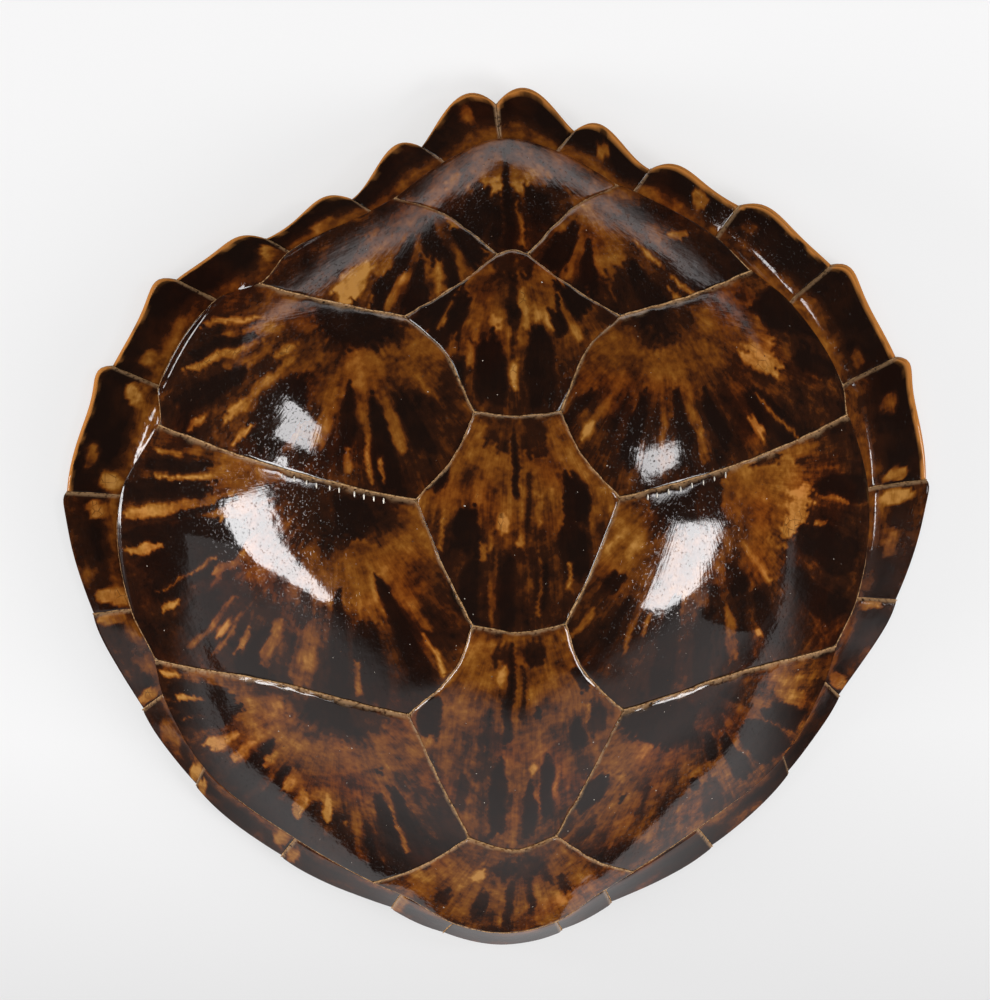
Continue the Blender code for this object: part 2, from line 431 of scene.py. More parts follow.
# %% [markdown]
# ## How the colour grew
# Horn grows out of a seam at the rear of each plate and spreads towards the head like a fan, so the dark
# pigment is drawn out in rays and blotches about one growth centre. Each plate has a base tone that
# changes with the distance from its centre, and a list of strokes laid over it in turn, each a patch of
# dark, brown, amber or honey horn between two distances. Strokes were chosen over plain noise, because
# the blotches of a real plate are few, large and different on every plate. The ends are frayed by noise.

# %% Growth centres, base tones and strokes
HONEY, GOLD, AMBER, RUSSET, BROWN, DARK, BLACK = 0.08, 0.24, 0.36, 0.46, 0.55, 0.76, 0.97

# plate: growth centre (x, y), mm
CENTRES = {
    "V1": (0, -150), "V2": (0, 20), "V3": (0, 150), "V4": (0, 235), "V5": (0, 275),
    "C1_left": (-115, -75), "C2_left": (-115, 65), "C3_left": (-100, 165), "C4_left": (-50, 228),
    "C1_right": (115, -75), "C2_right": (115, 65), "C3_right": (100, 165), "C4_right": (50, 228),
}
# past this distance the rays of these plates run straight ahead, mm
STRAIGHT = {"V2": 100.0, "V3": 92.0, "V4": 85.0}
# plate: distance from the centre in mm, and tone there
BASES = {
    "V1": [(45, RUSSET), (60, BROWN), (80, RUSSET), (100, AMBER), (120, BROWN), (140, DARK)],
    "V2": [(45, BROWN), (58, BROWN), (66, AMBER), (104, AMBER), (118, RUSSET), (150, BROWN), (215, BROWN)],
    "V3": [(40, BROWN), (50, DARK), (66, RUSSET), (90, AMBER), (118, RUSSET), (130, DARK), (185, DARK)],
    "V4": [(30, BROWN), (40, DARK), (50, RUSSET), (74, AMBER), (90, BROWN), (130, DARK)],
    "V5": [(0, BROWN), (20, BROWN), (36, AMBER), (46, DARK), (90, DARK)],
    "C1_left": [(0, BROWN), (12, DARK), (36, DARK), (48, RUSSET), (95, RUSSET), (115, DARK), (170, BLACK)],
    "C2_left": [(0, BROWN), (14, DARK), (42, DARK), (56, RUSSET), (85, RUSSET), (100, 0.70), (180, 0.80)],
    "C3_left": [(0, BROWN), (6, DARK), (26, DARK), (36, RUSSET), (54, RUSSET), (66, 0.62), (150, DARK)],
    "C4_left": [(0, RUSSET), (14, BROWN), (30, RUSSET), (60, BROWN), (130, DARK)],
    "C1_right": [(0, BROWN), (12, DARK), (50, DARK), (62, RUSSET), (90, RUSSET), (120, BROWN), (170, DARK)],
    "C2_right": [(0, BROWN), (12, DARK), (38, DARK), (50, RUSSET), (85, RUSSET), (105, DARK), (180, DARK)],
    "C3_right": [(0, BROWN), (6, DARK), (20, DARK), (32, BROWN), (50, RUSSET), (66, 0.62), (150, DARK)],
    "C4_right": [(0, AMBER), (16, RUSSET), (40, BROWN), (60, DARK), (130, BLACK)],
}
# plate: bearing in degrees (0 towards the head), near and far end and half width in mm, tone
STROKES = {
    "V1": [
        (4, 56, 72, 20, DARK), (-22, 55, 64, 9, BROWN), (0, 70, 120, 2.5, DARK),
        (9, 74, 110, 2.5, DARK), (19, 66, 84, 3, DARK), (24, 82, 102, 4, DARK), (-11, 84, 118, 4, DARK),
        (-24, 98, 112, 6, DARK), (-42, 84, 96, 8, DARK), (-34, 92, 99, 3, GOLD), (5, 80, 112, 3, AMBER),
        (-5, 88, 106, 3, AMBER), (14, 74, 88, 4, RUSSET), (26, 66, 78, 7, RUSSET),
        (-2.5, 108, 118, 1.5, GOLD), (-17.5, 68, 80, 4.5, -0.1), (-21, 78, 88, 2.5, GOLD),
        (-18.5, 44, 70, 0.5, GOLD),
    ],
    "V2": [
        (-13, 66, 104, 20, 0.40), (15, 66, 104, 17, 0.40), (-9, 62, 76, 7, DARK), (8, 60, 74, 8, DARK),
        (-4, 62, 134, 2.3, BLACK), (1.3, 78, 116, 1.2, DARK), (-8, 76, 92, 3, HONEY),
        (-9.5, 111, 117, 2.5, DARK), (7.5, 108, 116, 3.2, BLACK), (-28, 112, 142, 6, BLACK),
        (-24, 96, 112, 5, BROWN), (25, 88, 104, 5, BLACK), (20, 124, 146, 5, BLACK),
        (26, 116, 142, 5, DARK), (24, 118, 128, 1.6, HONEY), (5.2, 149, 155, 4, HONEY),
        (-5.6, 146, 206, 5, BLACK), (4.2, 164, 208, 4.5, BLACK), (9.5, 142, 196, 4, BLACK),
        (-11.5, 126, 166, 4, DARK), (0, 170, 216, 1.8, AMBER), (-8.5, 158, 206, 1.3, AMBER),
        (7.2, 162, 200, 1.1, AMBER), (12.8, 158, 180, 1.5, GOLD), (-16, 160, 186, 3, DARK),
        (-10, 134, 140, 5, AMBER), (-15, 146, 158, 4, RUSSET), (15, 168, 190, 3, DARK),
    ],
    "V3": [
        (-22, 56, 104, 11, AMBER), (-8, 62, 112, 8, AMBER), (9, 62, 112, 7, AMBER),
        (24, 56, 86, 6, AMBER), (-12, 46, 68, 8, DARK), (9, 46, 72, 8, DARK), (-2, 54, 98, 1.8, BLACK),
        (3.2, 78, 120, 2, DARK), (0, 66, 130, 1, GOLD), (-6.5, 108, 119, 5, HONEY),
        (-15, 98, 106, 5, GOLD), (-24, 72, 80, 4, GOLD), (7.5, 98, 115, 3, HONEY),
        (13, 92, 112, 2.5, GOLD), (-1, 122, 130, 3.5, GOLD), (21, 90, 122, 7, BLACK),
        (18, 118, 156, 8, BLACK), (-33, 92, 112, 9, BLACK), (-18, 110, 138, 8, BLACK),
        (-16, 140, 176, 6, BLACK), (-4, 132, 180, 5, BLACK), (3, 122, 180, 3, DARK),
        (7, 138, 176, 4, BLACK), (-26, 112, 138, 1.2, GOLD), (-13, 132, 139, 3, GOLD),
        (-10.5, 122, 134, 1.6, AMBER), (-8.5, 138, 180, 2, RUSSET), (6.2, 134, 174, 1.5, AMBER),
        (16, 144, 162, 1.6, GOLD), (2.6, 132, 178, 1.6, BROWN),
    ],
    "V4": [
        (-16, 46, 76, 10, RUSSET), (18, 44, 72, 11, AMBER), (0, 36, 49, 15, DARK),
        (-0.5, 48, 100, 2.4, DARK), (-1, 64, 74, 5.5, DARK), (-9.5, 74, 81, 6, HONEY),
        (-17, 80, 92, 3.2, GOLD), (-19, 90, 106, 3.2, GOLD), (5, 56, 82, 3, HONEY),
        (11, 70, 78, 4, HONEY), (15.5, 74, 86, 3, HONEY), (8.5, 70, 74, 8, GOLD),
        (-33, 62, 104, 9, BLACK), (-26, 66, 92, 5, BLACK), (-31, 66, 92, 1.2, AMBER),
        (30, 60, 86, 9, BLACK), (20, 74, 90, 5, BLACK), (25.5, 68, 96, 2.6, GOLD),
        (-10, 84, 126, 10, BLACK), (10, 80, 126, 9, BLACK), (0, 84, 124, 2.6, BROWN),
        (-0.6, 96, 116, 2.8, HONEY), (22, 92, 116, 4, BROWN), (-22, 104, 124, 4, BLACK),
    ],
    "V5": [
        (-60, 20, 90, 16, BROWN), (58, 20, 90, 16, BROWN), (-20, 16, 33, 6, RUSSET),
        (20, 16, 33, 6, RUSSET), (-16, 33, 41, 9, HONEY), (16, 33, 41, 8, GOLD),
        (-23, 40, 70, 9, BLACK), (21, 38, 64, 7, BLACK), (-2, 18, 74, 3.4, BLACK),
        (6, 42, 68, 1.5, GOLD), (-6, 40, 68, 1.2, BROWN), (-47, 44, 54, 2.5, GOLD),
        (44, 34, 44, 2.5, GOLD), (-34, 44, 50, 3, GOLD), (40, 44, 62, 4, DARK), (-10, 44, 72, 4, BLACK),
    ],
    "C1_left": [
        (0, 12, 34, 24, BLACK), (30, 18, 42, 9, DARK), (-60, 44, 78, 10, AMBER),
        (-68, 74, 122, 17, BLACK), (-80, 107, 122, 2.6, HONEY), (-71, 96, 117, 2.6, HONEY),
        (-63, 100, 116, 0.9, AMBER), (-46, 62, 84, 6, AMBER), (-35, 80, 126, 9, BLACK),
        (-38, 68, 82, 4, BLACK), (-24, 78, 112, 5, BLACK), (-20, 108, 150, 20, BLACK),
        (-52, 88, 114, 5, HONEY), (-44, 78, 104, 3.5, HONEY), (-33, 70, 90, 4, GOLD),
        (-21, 76, 102, 3.5, GOLD), (-14, 92, 122, 4, HONEY), (-7, 88, 100, 8, GOLD),
        (-4, 98, 118, 3.5, HONEY), (-9, 102, 120, 2, BLACK), (2, 108, 122, 2, GOLD),
        (6, 96, 152, 4, RUSSET), (11, 100, 150, 2, BROWN), (16, 88, 152, 5, BLACK),
        (19, 100, 146, 1.4, GOLD), (23, 82, 142, 4, BLACK), (28, 84, 134, 3, BROWN),
        (24, 54, 80, 8, AMBER), (22, 70, 76, 2.5, BLACK), (35, 66, 112, 4, BROWN),
        (31, 94, 130, 3, DARK), (14, 50, 86, 5, RUSSET), (-12, 50, 86, 12, RUSSET),
    ],
    "C2_left": [
        (-82, 30, 82, 9, AMBER), (10, 15, 42, 18, BLACK), (-20, 15, 40, 10, DARK),
        (-84, 80, 125, 4, BLACK), (-76, 80, 148, 6, BLACK), (-68, 70, 110, 3.5, BLACK),
        (-64, 118, 156, 6, BLACK), (-80, 84, 120, 1.2, HONEY), (-88, 103, 120, 2.5, GOLD),
        (-70, 74, 150, 3.4, GOLD), (-54, 74, 156, 15, BLACK), (-61, 78, 160, 3, HONEY),
        (-46, 84, 114, 3, GOLD), (-40, 122, 162, 9, BLACK), (-36, 108, 170, 1.6, AMBER),
        (-31, 112, 160, 1.4, GOLD), (-60, 84, 134, 9, BLACK), (-22, 120, 164, 8, BLACK),
        (-50, 100, 150, 1.3, GOLD), (-44, 108, 120, 2, AMBER), (-46, 148, 164, 3, HONEY),
        (-33, 130, 148, 2.4, HONEY), (-27, 124, 150, 2.4, HONEY), (-20, 106, 150, 4, AMBER),
        (-10, 98, 150, 8, RUSSET), (16, 46, 90, 20, AMBER), (-14, 78, 108, 4, DARK),
        (0, 76, 160, 5.5, BLACK), (9, 95, 156, 9, BLACK), (22, 68, 156, 6, BLACK),
        (14, 50, 100, 2.6, AMBER), (30, 70, 116, 3.5, AMBER), (28, 118, 146, 1.5, HONEY),
        (5, 122, 150, 2.4, GOLD), (-26, 74, 100, 5, BROWN), (-40, 60, 84, 9, RUSSET),
    ],
    "C3_left": [
        (0, 0, 26, 26, BLACK), (8, 28, 48, 14, AMBER), (-66, 44, 100, 10, RUSSET),
        (-78, 58, 106, 1.5, HONEY), (-72, 46, 74, 3, GOLD), (-70, 70, 112, 3, BLACK),
        (-58, 84, 142, 6, BLACK), (-66, 64, 122, 2.2, HONEY), (-57, 50, 60, 3, HONEY),
        (-37, 58, 112, 12, BLACK), (-49, 50, 116, 2.8, GOLD), (-42, 104, 122, 2.4, HONEY),
        (-52, 128, 142, 3, HONEY), (-6, 48, 86, 5, BLACK), (10, 56, 112, 7, BLACK),
        (27, 54, 98, 6, BLACK), (-17, 48, 92, 4.4, AMBER), (3, 44, 80, 3, AMBER),
        (18, 52, 92, 4, AMBER), (-5, 88, 100, 3, GOLD), (3, 80, 106, 2, HONEY), (8, 90, 106, 2, HONEY),
        (42, 54, 82, 1.5, AMBER), (36, 60, 90, 4, DARK), (-24, 92, 120, 5, DARK),
    ],
    "C4_left": [
        (-76, 20, 110, 12, DARK), (-62, 50, 110, 7, DARK), (-75, 40, 100, 1.6, BROWN),
        (-42, 24, 60, 8, AMBER), (-46, 56, 88, 7, HONEY), (-30, 24, 78, 5.5, BLACK),
        (-42, 76, 83, 3, BLACK), (-25, 44, 72, 2.4, GOLD), (-20, 24, 46, 3, RUSSET),
        (-14, 34, 70, 4.5, BLACK), (3, 30, 54, 2.4, GOLD), (0, 8, 32, 5, BLACK), (15, 22, 52, 4, BLACK),
        (54, 10, 22, 4, HONEY), (44, 20, 44, 8, BLACK), (26, 26, 44, 1, AMBER),
        (-34, 68, 80, 1.6, GOLD), (-8, 50, 66, 3, BLACK),
    ],
    "C1_right": [
        (-36, 18, 56, 22, BLACK), (-5, 18, 50, 12, BLACK), (20, 30, 52, 8, BROWN),
        (-35, 58, 84, 15, RUSSET), (-28, 54, 62, 5, GOLD), (-34, 84, 87, 17, GOLD),
        (8, 80, 83, 5, GOLD), (-38, 89, 122, 9, BLACK), (-24, 97, 103, 3, BLACK),
        (-14, 88, 112, 3, DARK), (7, 88, 100, 4, BLACK), (18, 52, 76, 5, BLACK),
        (-30, 118, 146, 5, DARK), (-20, 104, 146, 4, RUSSET), (-8, 92, 140, 3, RUSSET),
        (-4, 96, 140, 2, DARK), (14, 92, 130, 8, DARK), (22, 74, 104, 1.6, AMBER),
        (28, 60, 110, 6, BLACK), (32, 58, 88, 1.6, AMBER), (42, 66, 116, 12, BLACK),
        (45, 34, 60, 5, RUSSET), (56, 70, 110, 8, BLACK), (74, 66, 92, 5, AMBER),
        (66, 72, 98, 3.6, GOLD), (58, 56, 76, 4, RUSSET), (86, 84, 118, 6, BLACK),
        (2, 108, 130, 1.6, AMBER), (36, 44, 62, 3, AMBER), (-46, 68, 80, 4, BROWN),
    ],
    "C2_right": [
        (-18, 12, 38, 20, BLACK), (22, 14, 34, 10, DARK), (-45, 46, 82, 9, AMBER),
        (-42, 60, 72, 3, GOLD), (-52, 66, 76, 2.5, GOLD), (62, 22, 76, 24, AMBER),
        (62, 78, 94, 22, HONEY), (86, 44, 62, 4, DARK), (84, 76, 88, 3, DARK), (74, 96, 150, 9, BLACK),
        (55, 94, 156, 12, BLACK), (70, 96, 126, 1.6, AMBER), (61, 103, 116, 2.6, HONEY),
        (42, 104, 172, 8, BLACK), (34, 56, 104, 2.2, GOLD), (22, 74, 98, 8, DARK),
        (27, 98, 142, 6, BLACK), (18, 116, 150, 5, BLACK), (10, 72, 94, 4, DARK),
        (14, 100, 142, 4.5, AMBER), (23, 126, 134, 2.4, HONEY), (4, 96, 150, 6, BLACK),
        (-8, 84, 156, 7, BLACK), (-38, 80, 98, 6, BLACK), (-38, 108, 128, 2.4, AMBER),
        (-22, 92, 128, 2, AMBER), (-17, 94, 116, 2, GOLD), (-28, 92, 150, 4, BLACK),
        (12, 48, 78, 7, RUSSET), (46, 76, 92, 4, GOLD),
    ],
    "C3_right": [
        (-8, 0, 20, 24, BLACK), (45, 0, 20, 8, DARK), (70, 16, 76, 12, RUSSET), (65, 66, 86, 8, GOLD),
        (-6, 30, 50, 18, 0.42), (34, 26, 52, 7, BROWN), (82, 68, 132, 16, BLACK),
        (58, 60, 96, 5.5, HONEY), (-18, 54, 102, 5, BLACK), (6, 50, 102, 5, BLACK),
        (24, 60, 98, 5, BLACK), (-4, 46, 88, 2, AMBER), (14, 50, 102, 3, AMBER),
        (14, 76, 86, 2.6, HONEY), (-37, 48, 100, 3, AMBER), (-37, 84, 100, 2.4, HONEY),
        (38, 94, 110, 4, HONEY), (44, 80, 142, 8, BLACK), (45, 84, 136, 1.3, AMBER),
        (-46, 68, 96, 4, BLACK), (34, 62, 92, 4, DARK), (-28, 60, 96, 3, DARK),
        (66, 100, 140, 6, BLACK),
    ],
    "C4_right": [
        (-35, 16, 46, 7, BLACK), (-24, 14, 40, 4, BLACK), (-17, 26, 48, 2.6, AMBER),
        (0, 20, 56, 5, BLACK), (-8, 44, 60, 4, BLACK), (0, 48, 58, 1.4, AMBER), (24, 12, 46, 9, AMBER),
        (30, 30, 44, 4, GOLD), (16, 44, 62, 1.6, RUSSET), (36, 46, 84, 7, BLACK), (26, 54, 76, 4, DARK),
        (52, 40, 64, 1.5, GOLD), (50, 78, 98, 1.8, GOLD), (45, 76, 90, 1.8, GOLD),
        (70, 62, 76, 3, GOLD), (66, 26, 60, 5, BROWN), (78, 30, 90, 6, DARK),
    ],
}
print(sum(len(strokes) for strokes in STROKES.values()), "strokes on", len(STROKES), "plates")

# %% The tone of every place on a plate
FRAY, FRAY_OVER = 7.0, 3.2  # how far the ends of strokes fray, and over what width, mm
TEETH, TEETH_OVER = 5.0, 1.3  # finer teeth on the same ends
WAVE, WAVE_OVER = 2.4, 17.0  # how far a stroke strays sideways, and over what length, mm
NOTCH, NOTCH_OVER = 1.5, 5.0  # finer notches in its sides
SOFT = 1.9  # how wide the edge of a stroke is, mm
BASE_FRAY = 1.4  # the bands of the base tone fray this many times as far as the strokes do
NARROWEST, WIDEST = 0.45, 1.5  # a stroke widens with the distance, between these shares of its width
TAPER, TAPER_OVER = 0.35, 12.0  # its ends are this share narrower, over this length, mm
FAN_RADIUS = 60.0  # the fan coordinates are as wide as an arc of this radius, mm
RAY_RADIUS, RAY_LENGTH = 80, 9  # frays are much longer along the rays than across them
# straightened rays: the least way ahead, mm, and how fast they still open past their distance
CLOSEST_AHEAD, STRAIGHT_OPENING = 8.0, 0.3


def growth(name, places):
    """Bearing in degrees and distance in mm from the plate's growth centre, and the width of a radian."""
    x, ahead = places[:, 0] - CENTRES[name][0], CENTRES[name][1] - places[:, 1]
    distance = np.hypot(x, ahead)
    if name not in STRAIGHT:
        return np.degrees(np.arctan2(x, ahead)), distance, distance
    wide = STRAIGHT[name]
    beyond = wide + STRAIGHT_OPENING * (ahead - wide)
    reach = np.where(ahead < wide, np.maximum(ahead, CLOSEST_AHEAD), beyond)
    return np.degrees(np.arctan(x / reach)), distance, reach


def pigment_of(name, places):
    """The tone of each place, from 0 for clear honey horn to 1 for black, and its fan coordinates."""
    bearing, distance, radian = growth(name, places)
    seed = 10.0 * (1 + list(CENTRES).index(name))
    turned = np.radians(bearing)
    fan = np.stack([turned * FAN_RADIUS, distance, np.full(len(places), seed)], axis=1)
    across = turned * radian
    stray = noise_at(np.stack([across / 2.5, distance], axis=1), WAVE_OVER, seed)
    notch = noise_at(np.stack([across, distance / 1.8], axis=1), NOTCH_OVER, seed + 2)
    stray = WAVE * stray + NOTCH * notch
    rays = np.stack([turned * RAY_RADIUS, distance / RAY_LENGTH], axis=1)
    fray = FRAY * noise_at(rays, FRAY_OVER, seed + 5) + TEETH * noise_at(rays, TEETH_OVER, seed + 7)
    tone = np.interp(distance + BASE_FRAY * fray, *zip(*BASES[name]))
    for at, near, far, half, level in STROKES[name]:
        widening = np.clip(2 * distance / (near + far), NARROWEST, WIDEST)
        aside = np.abs(np.radians(bearing - at) * radian + stray) - half * widening
        beyond = np.maximum(near - distance, distance - far) + fray
        from_end = np.minimum(distance - near, far - distance)
        aside = aside + TAPER * half * np.clip(1 - from_end / TAPER_OVER, 0, 1)
        within = np.minimum(np.maximum(aside, beyond), 0)
        gap = np.hypot(np.maximum(aside, 0), np.maximum(beyond, 0)) + within
        share = smoothstep(0.5 - gap / SOFT)
        tone = tone + share * (level - tone)
    return tone, fan


tone, _ = pigment_of("V3", places)
print("tone on V3:", tone.min().round(2), "to", tone.max().round(2))

# %% [markdown]
# ## How thick the horn is at each place
# The lift says how far the horn stands off the dome. It grows from a fraction of a millimetre at the
# tucked edge to over two at the rear lip, swells a little in the middle of the plate, and is bevelled at
# its edges, widest along the worn lips. The dome itself is sunk first by as much, so that the finished
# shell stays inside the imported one.

# %% Relief of a plate
SUNK = 2.9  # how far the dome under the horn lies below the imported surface, mm
THIN, THICK = 0.5, 2.1  # the horn at its tucked edge and at its lip, mm
SWELL, SWELL_OVER = 0.5, 14.0  # how much it swells from its edges inwards, and over what length, mm
# width and drop of the bevel, mm
BEVELS = {"costal lip": (4.2, 1.5), "back lip": (2.6, 1.3), "side lip": (1.9, 0.9), "tucked": (1.2, 0.4)}
DENT, DENT_OVER = 0.22, 34.0  # slow unevenness, which makes the reflections wander


def edge_kind(plate, side):
    """What this side is to this plate: a lip over its neighbour, or an edge tucked under or beside it."""
    name = side.split(" ")[0]
    first = name.split("|")[0]
    if "|" not in name or first != plate[:2].lower():
        return "tucked"
    if name[0] == "c" and name[3] == "c":
        return "costal lip"
    return "back lip" if name[0] == "v" and name[3] == "v" else "side lip"


def plate_relief(name, sides, places):
    """The lift of each place, and how worn it is, from 0 to 1 at the bare lip."""
    nearest = np.full(len(places), np.inf)
    drop, worn = np.zeros(len(places)), np.zeros(len(places))
    for side in sides:
        gap, along = distance_to(seams[side], places)
        kind = edge_kind(name, side)
        width, depth = BEVELS[kind]
        uneven = 1 + 0.25 * np.sin(along / 5.3) + 0.2 * np.sin(along / 2.1 + 1.0)
        share = np.clip(gap / (width * uneven), 0, 1)
        drop = np.maximum(drop, depth * (1 - share) ** 2)
        nearest = np.minimum(nearest, gap)
        if kind != "tucked":
            worn = np.maximum(worn, 1 - smoothstep(gap / (0.8 * width * uneven)))
    low, high = places[:, 1].min(), places[:, 1].max()
    rear = smoothstep((places[:, 1] - low) / (high - low))
    lift = THIN + (THICK - THIN) * rear + SWELL * (1 - np.exp(-nearest / SWELL_OVER)) - drop
    return lift + DENT * noise_at(places, DENT_OVER, seed=1.7), worn


# %% A closed body from a lifted net
def in_scene(name, content):
    """A new object in the scene for a mesh, or for a camera's lens."""
    made = bpy.data.objects.new(name, content)
    bpy.context.scene.collection.objects.link(made)
    return made


def new_piece(name, points, faces, values=None):
    """A mesh object from points in mm, with its outside facing out and a value per point for each name."""
    mesh = bpy.data.meshes.new(name)
    mesh.from_pydata((np.asarray(points) * MM).tolist(), [], faces)
    mesh.shade_smooth()
    for key, value in (values or {}).items():
        value = np.asarray(value, np.float32)
        kind = "FLOAT_VECTOR" if value.ndim == 2 else "FLOAT"
        attribute = mesh.attributes.new(key, kind, "POINT")
        attribute.data.foreach_set("vector" if value.ndim == 2 else "value", value.ravel())
    return in_scene(name, mesh)


def open_edges(faces):
    """The edges that only one face has, in that face's direction."""
    seen = {}
    for face in faces:
        for a, b in zip(face, face[1:] + face[:1]):
            seen[(a, b)] = True
    return [edge for edge in seen if edge[::-1] not in seen]


UNDER = 0.7  # how far below the sunk dome a plate's inner face lies, mm


def plate_body(net, lift):
    """Points and faces of a plate: its outer face, the same face below, and a wall round the edge."""
    places, faces = net
    top = on_shell(places, lift - SUNK)
    count = len(places)
    low = on_shell(places, -SUNK - UNDER)
    below = [tuple(v + count for v in face[::-1]) for face in faces]
    wall = [(b, a, a + count, b + count) for a, b in open_edges(faces)]
    return np.concatenate([top, low]), faces + below + wall


horn_pieces = {}
for name, sides in back_plates.items():
    net = plate_net(outline(sides))
    lift, worn = plate_relief(name, sides, net[0])
    tone, fan = pigment_of(name, net[0])
    points, faces = plate_body(net, lift)
    values = {"worn": worn, "pigment": tone, "fan": fan, "painted_backlight": np.zeros_like(worn)}
    twice = {key: np.concatenate([value, value]) for key, value in values.items()}
    horn_pieces[name] = new_piece(f"plate_{name}", points, faces, twice)
print(len(horn_pieces), "plates,", sum(len(p.data.polygons) for p in horn_pieces.values()), "faces")

# %% [markdown]
# ## The plates of the brim
# Twenty-four marginal plates and one nuchal plate behind the neck make the brim. Their tips stand out as
# the sawtooth of the rim, long at the tail and worn flush at the front. Each is a strip between two
# seams, so a grid suits it: one way along the rim, and the other from the gutter out over the lip and
# back beneath. The rear end of each plate lies on the next one, as on the back.

# %% Strips between the gutter and the rim
RIM_WALL, LIP_WALL, GUTTER_WALL = 3.4, 5.5, 12.0  # thickness of the brim at the rim, near it and inside, mm
RIM_CLEAR = 1.7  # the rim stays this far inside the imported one, mm
FOOT_FROM, FOOT_TO, FOOT_FADE = -18.0, 14.0, 20.0  # where the rim rests on the floor, degrees
BRIM_STEP = 2.8  # mm


def lobe(share, reach, tip):
    """A plate's reach past the rim: a long rise to its tip, then a short fall."""
    return reach * np.sin(math.pi * share ** (math.log(0.5) / math.log(tip)))


def foot(angle):
    """1 where the rim rests on the floor at either side, fading to 0 towards the head and tail."""
    lean = np.degrees(np.arctan2(np.sin(angle), np.abs(np.cos(angle))))
    outside = np.maximum(np.maximum(FOOT_FROM - lean, lean - FOOT_TO), 0)
    return 1 - smoothstep(outside / FOOT_FADE)


def steps_between(length, step, fine=(0.5, 1.3, 2.6)):
    """Shares from 0 to 1, close together near both ends."""
    near = np.array(fine) / length
    middle = np.linspace(near[-1], 1 - near[-1], max(2, int(length / step)))
    return np.concatenate([[0.0], near[:-1], middle, 1 - near[:-1][::-1], [1.0]])


def seam_angles(row, side):
    """The angles at which a seam of the brim leaves the gutter and meets the rim."""
    return [about_crown(point, side)[0] for point in SEAMS[row][:2]]


# name, angles of its seam at the head end and at the tail end, reach and place of its lobe
BRIM = [("N", seam_angles(1, -1), seam_angles(1, 1), 1, 0.5)]
for row in range(2, len(SEAMS)):
    for side, tag in ((1, "right"), (-1, "left")):
        ends = seam_angles(row - 1, side), seam_angles(row, side)
        BRIM.append((f"M{row - 1}_{tag}", *ends, *SEAMS[row][2:]))


def brim_strip(start, end, reach, tip):
    """A grid of places in plan over one plate of the brim, with the shares along and across it."""
    gutter_sweep, rim_sweep = (math.remainder(b - a, TURN) for a, b in zip(start, end))
    length = abs(rim_sweep) * read_curve(NOTCHES, RADIUS, end[1])
    along = steps_between(length - 2 * SEAM_GAP, BRIM_STEP)
    shift = SEAM_GAP / length
    t = shift + along * (1 - 2 * shift)
    from_gutter, to_rim = start[0] + gutter_sweep * t, start[1] + rim_sweep * t
    inner, outer = seam_radius(from_gutter), read_curve(NOTCHES, RADIUS, to_rim)
    outer = outer + lobe(t, reach, tip) - RIM_CLEAR
    middle = np.array([0.0, CROWN_Y])
    g = middle + inner[:, None] * np.stack([np.cos(from_gutter), np.sin(from_gutter)], axis=1)
    r = middle + outer[:, None] * np.stack([np.cos(to_rim), np.sin(to_rim)], axis=1)
    width = float(np.median(np.linalg.norm(r - g, axis=1)))
    across = steps_between(width, BRIM_STEP, (0.4, 1.0, 1.8, 2.8))
    gap = SEAM_GAP / width
    s = gap + across * (1 - gap)
    return g[:, None] + (r - g)[:, None] * s[None, :, None], t, s, length


print(len(BRIM), "plates round the brim, from", BRIM[0][0], "to", BRIM[-1][0])

# %% Tones of the brim
# plate of the brim and side: share along it (0 at the head end), share across (0 at the gutter), half
# sizes along and across in mm, tone
PATCHES = {
    "M1_left": [(0.9, 0.5, 6, 9, GOLD)], "M2_left": [(0.93, 0.6, 5, 8, GOLD)],
    "M3_left": [(0.1, 0.4, 6, 7, GOLD), (0.92, 0.7, 4, 6, HONEY)],
    "M4_left": [(0.07, 0.5, 5, 8, HONEY), (0.55, 0.5, 14, 6, RUSSET)],
    "M5_left": [(0.08, 0.6, 5, 8, HONEY), (0.5, 0.3, 12, 5, RUSSET), (0.93, 0.5, 5, 10, GOLD)],
    "M6_left": [(0.14, 0.35, 8, 9, HONEY), (0.9, 0.4, 8, 7, HONEY)],
    "M7_left": [(0.12, 0.3, 9, 8, HONEY), (0.3, 0.7, 10, 4, AMBER), (0.86, 0.4, 7, 5, GOLD)],
    "M8_left": [(0.2, 0.4, 8, 6, AMBER)], "M9_left": [(0.85, 0.35, 6, 6, GOLD)],
    "M10_left": [(0.5, 0.3, 9, 4, AMBER)], "M12_left": [(0.6, 0.6, 5, 5, AMBER)],
    "M5_right": [(0.1, 0.5, 6, 8, GOLD), (0.94, 0.4, 4, 9, HONEY)],
    "M6_right": [(0.9, 0.45, 7, 10, HONEY), (0.5, 0.4, 12, 6, RUSSET)],
    "M7_right": [(0.08, 0.5, 6, 9, GOLD), (0.7, 0.6, 8, 6, RUSSET)],
    "M8_right": [(0.15, 0.4, 7, 5, AMBER)], "M9_right": [(0.8, 0.5, 7, 5, RUSSET)],
    "M10_right": [(0.35, 0.55, 7, 5, GOLD)], "M11_right": [(0.55, 0.5, 5, 4, GOLD)],
}
# the clear rim is also painted bright, standing for light shining through thin horn
REAR_ROW = 7  # from this plate to the tail the rim is thin, clear horn
CLEAR_WIDE, CLEAR_STRAY, CLEAR_SOFT = 2.2, 2.4, 2.5  # width, unevenness and soft edge of that clear band, mm
CLEAR_MORE = 1.6  # how much wider it is on the right, mm
BLOTCH_REAR, BLOTCH_FRONT = 0.18, 0.34  # how much slow blotches change the tone of the brim


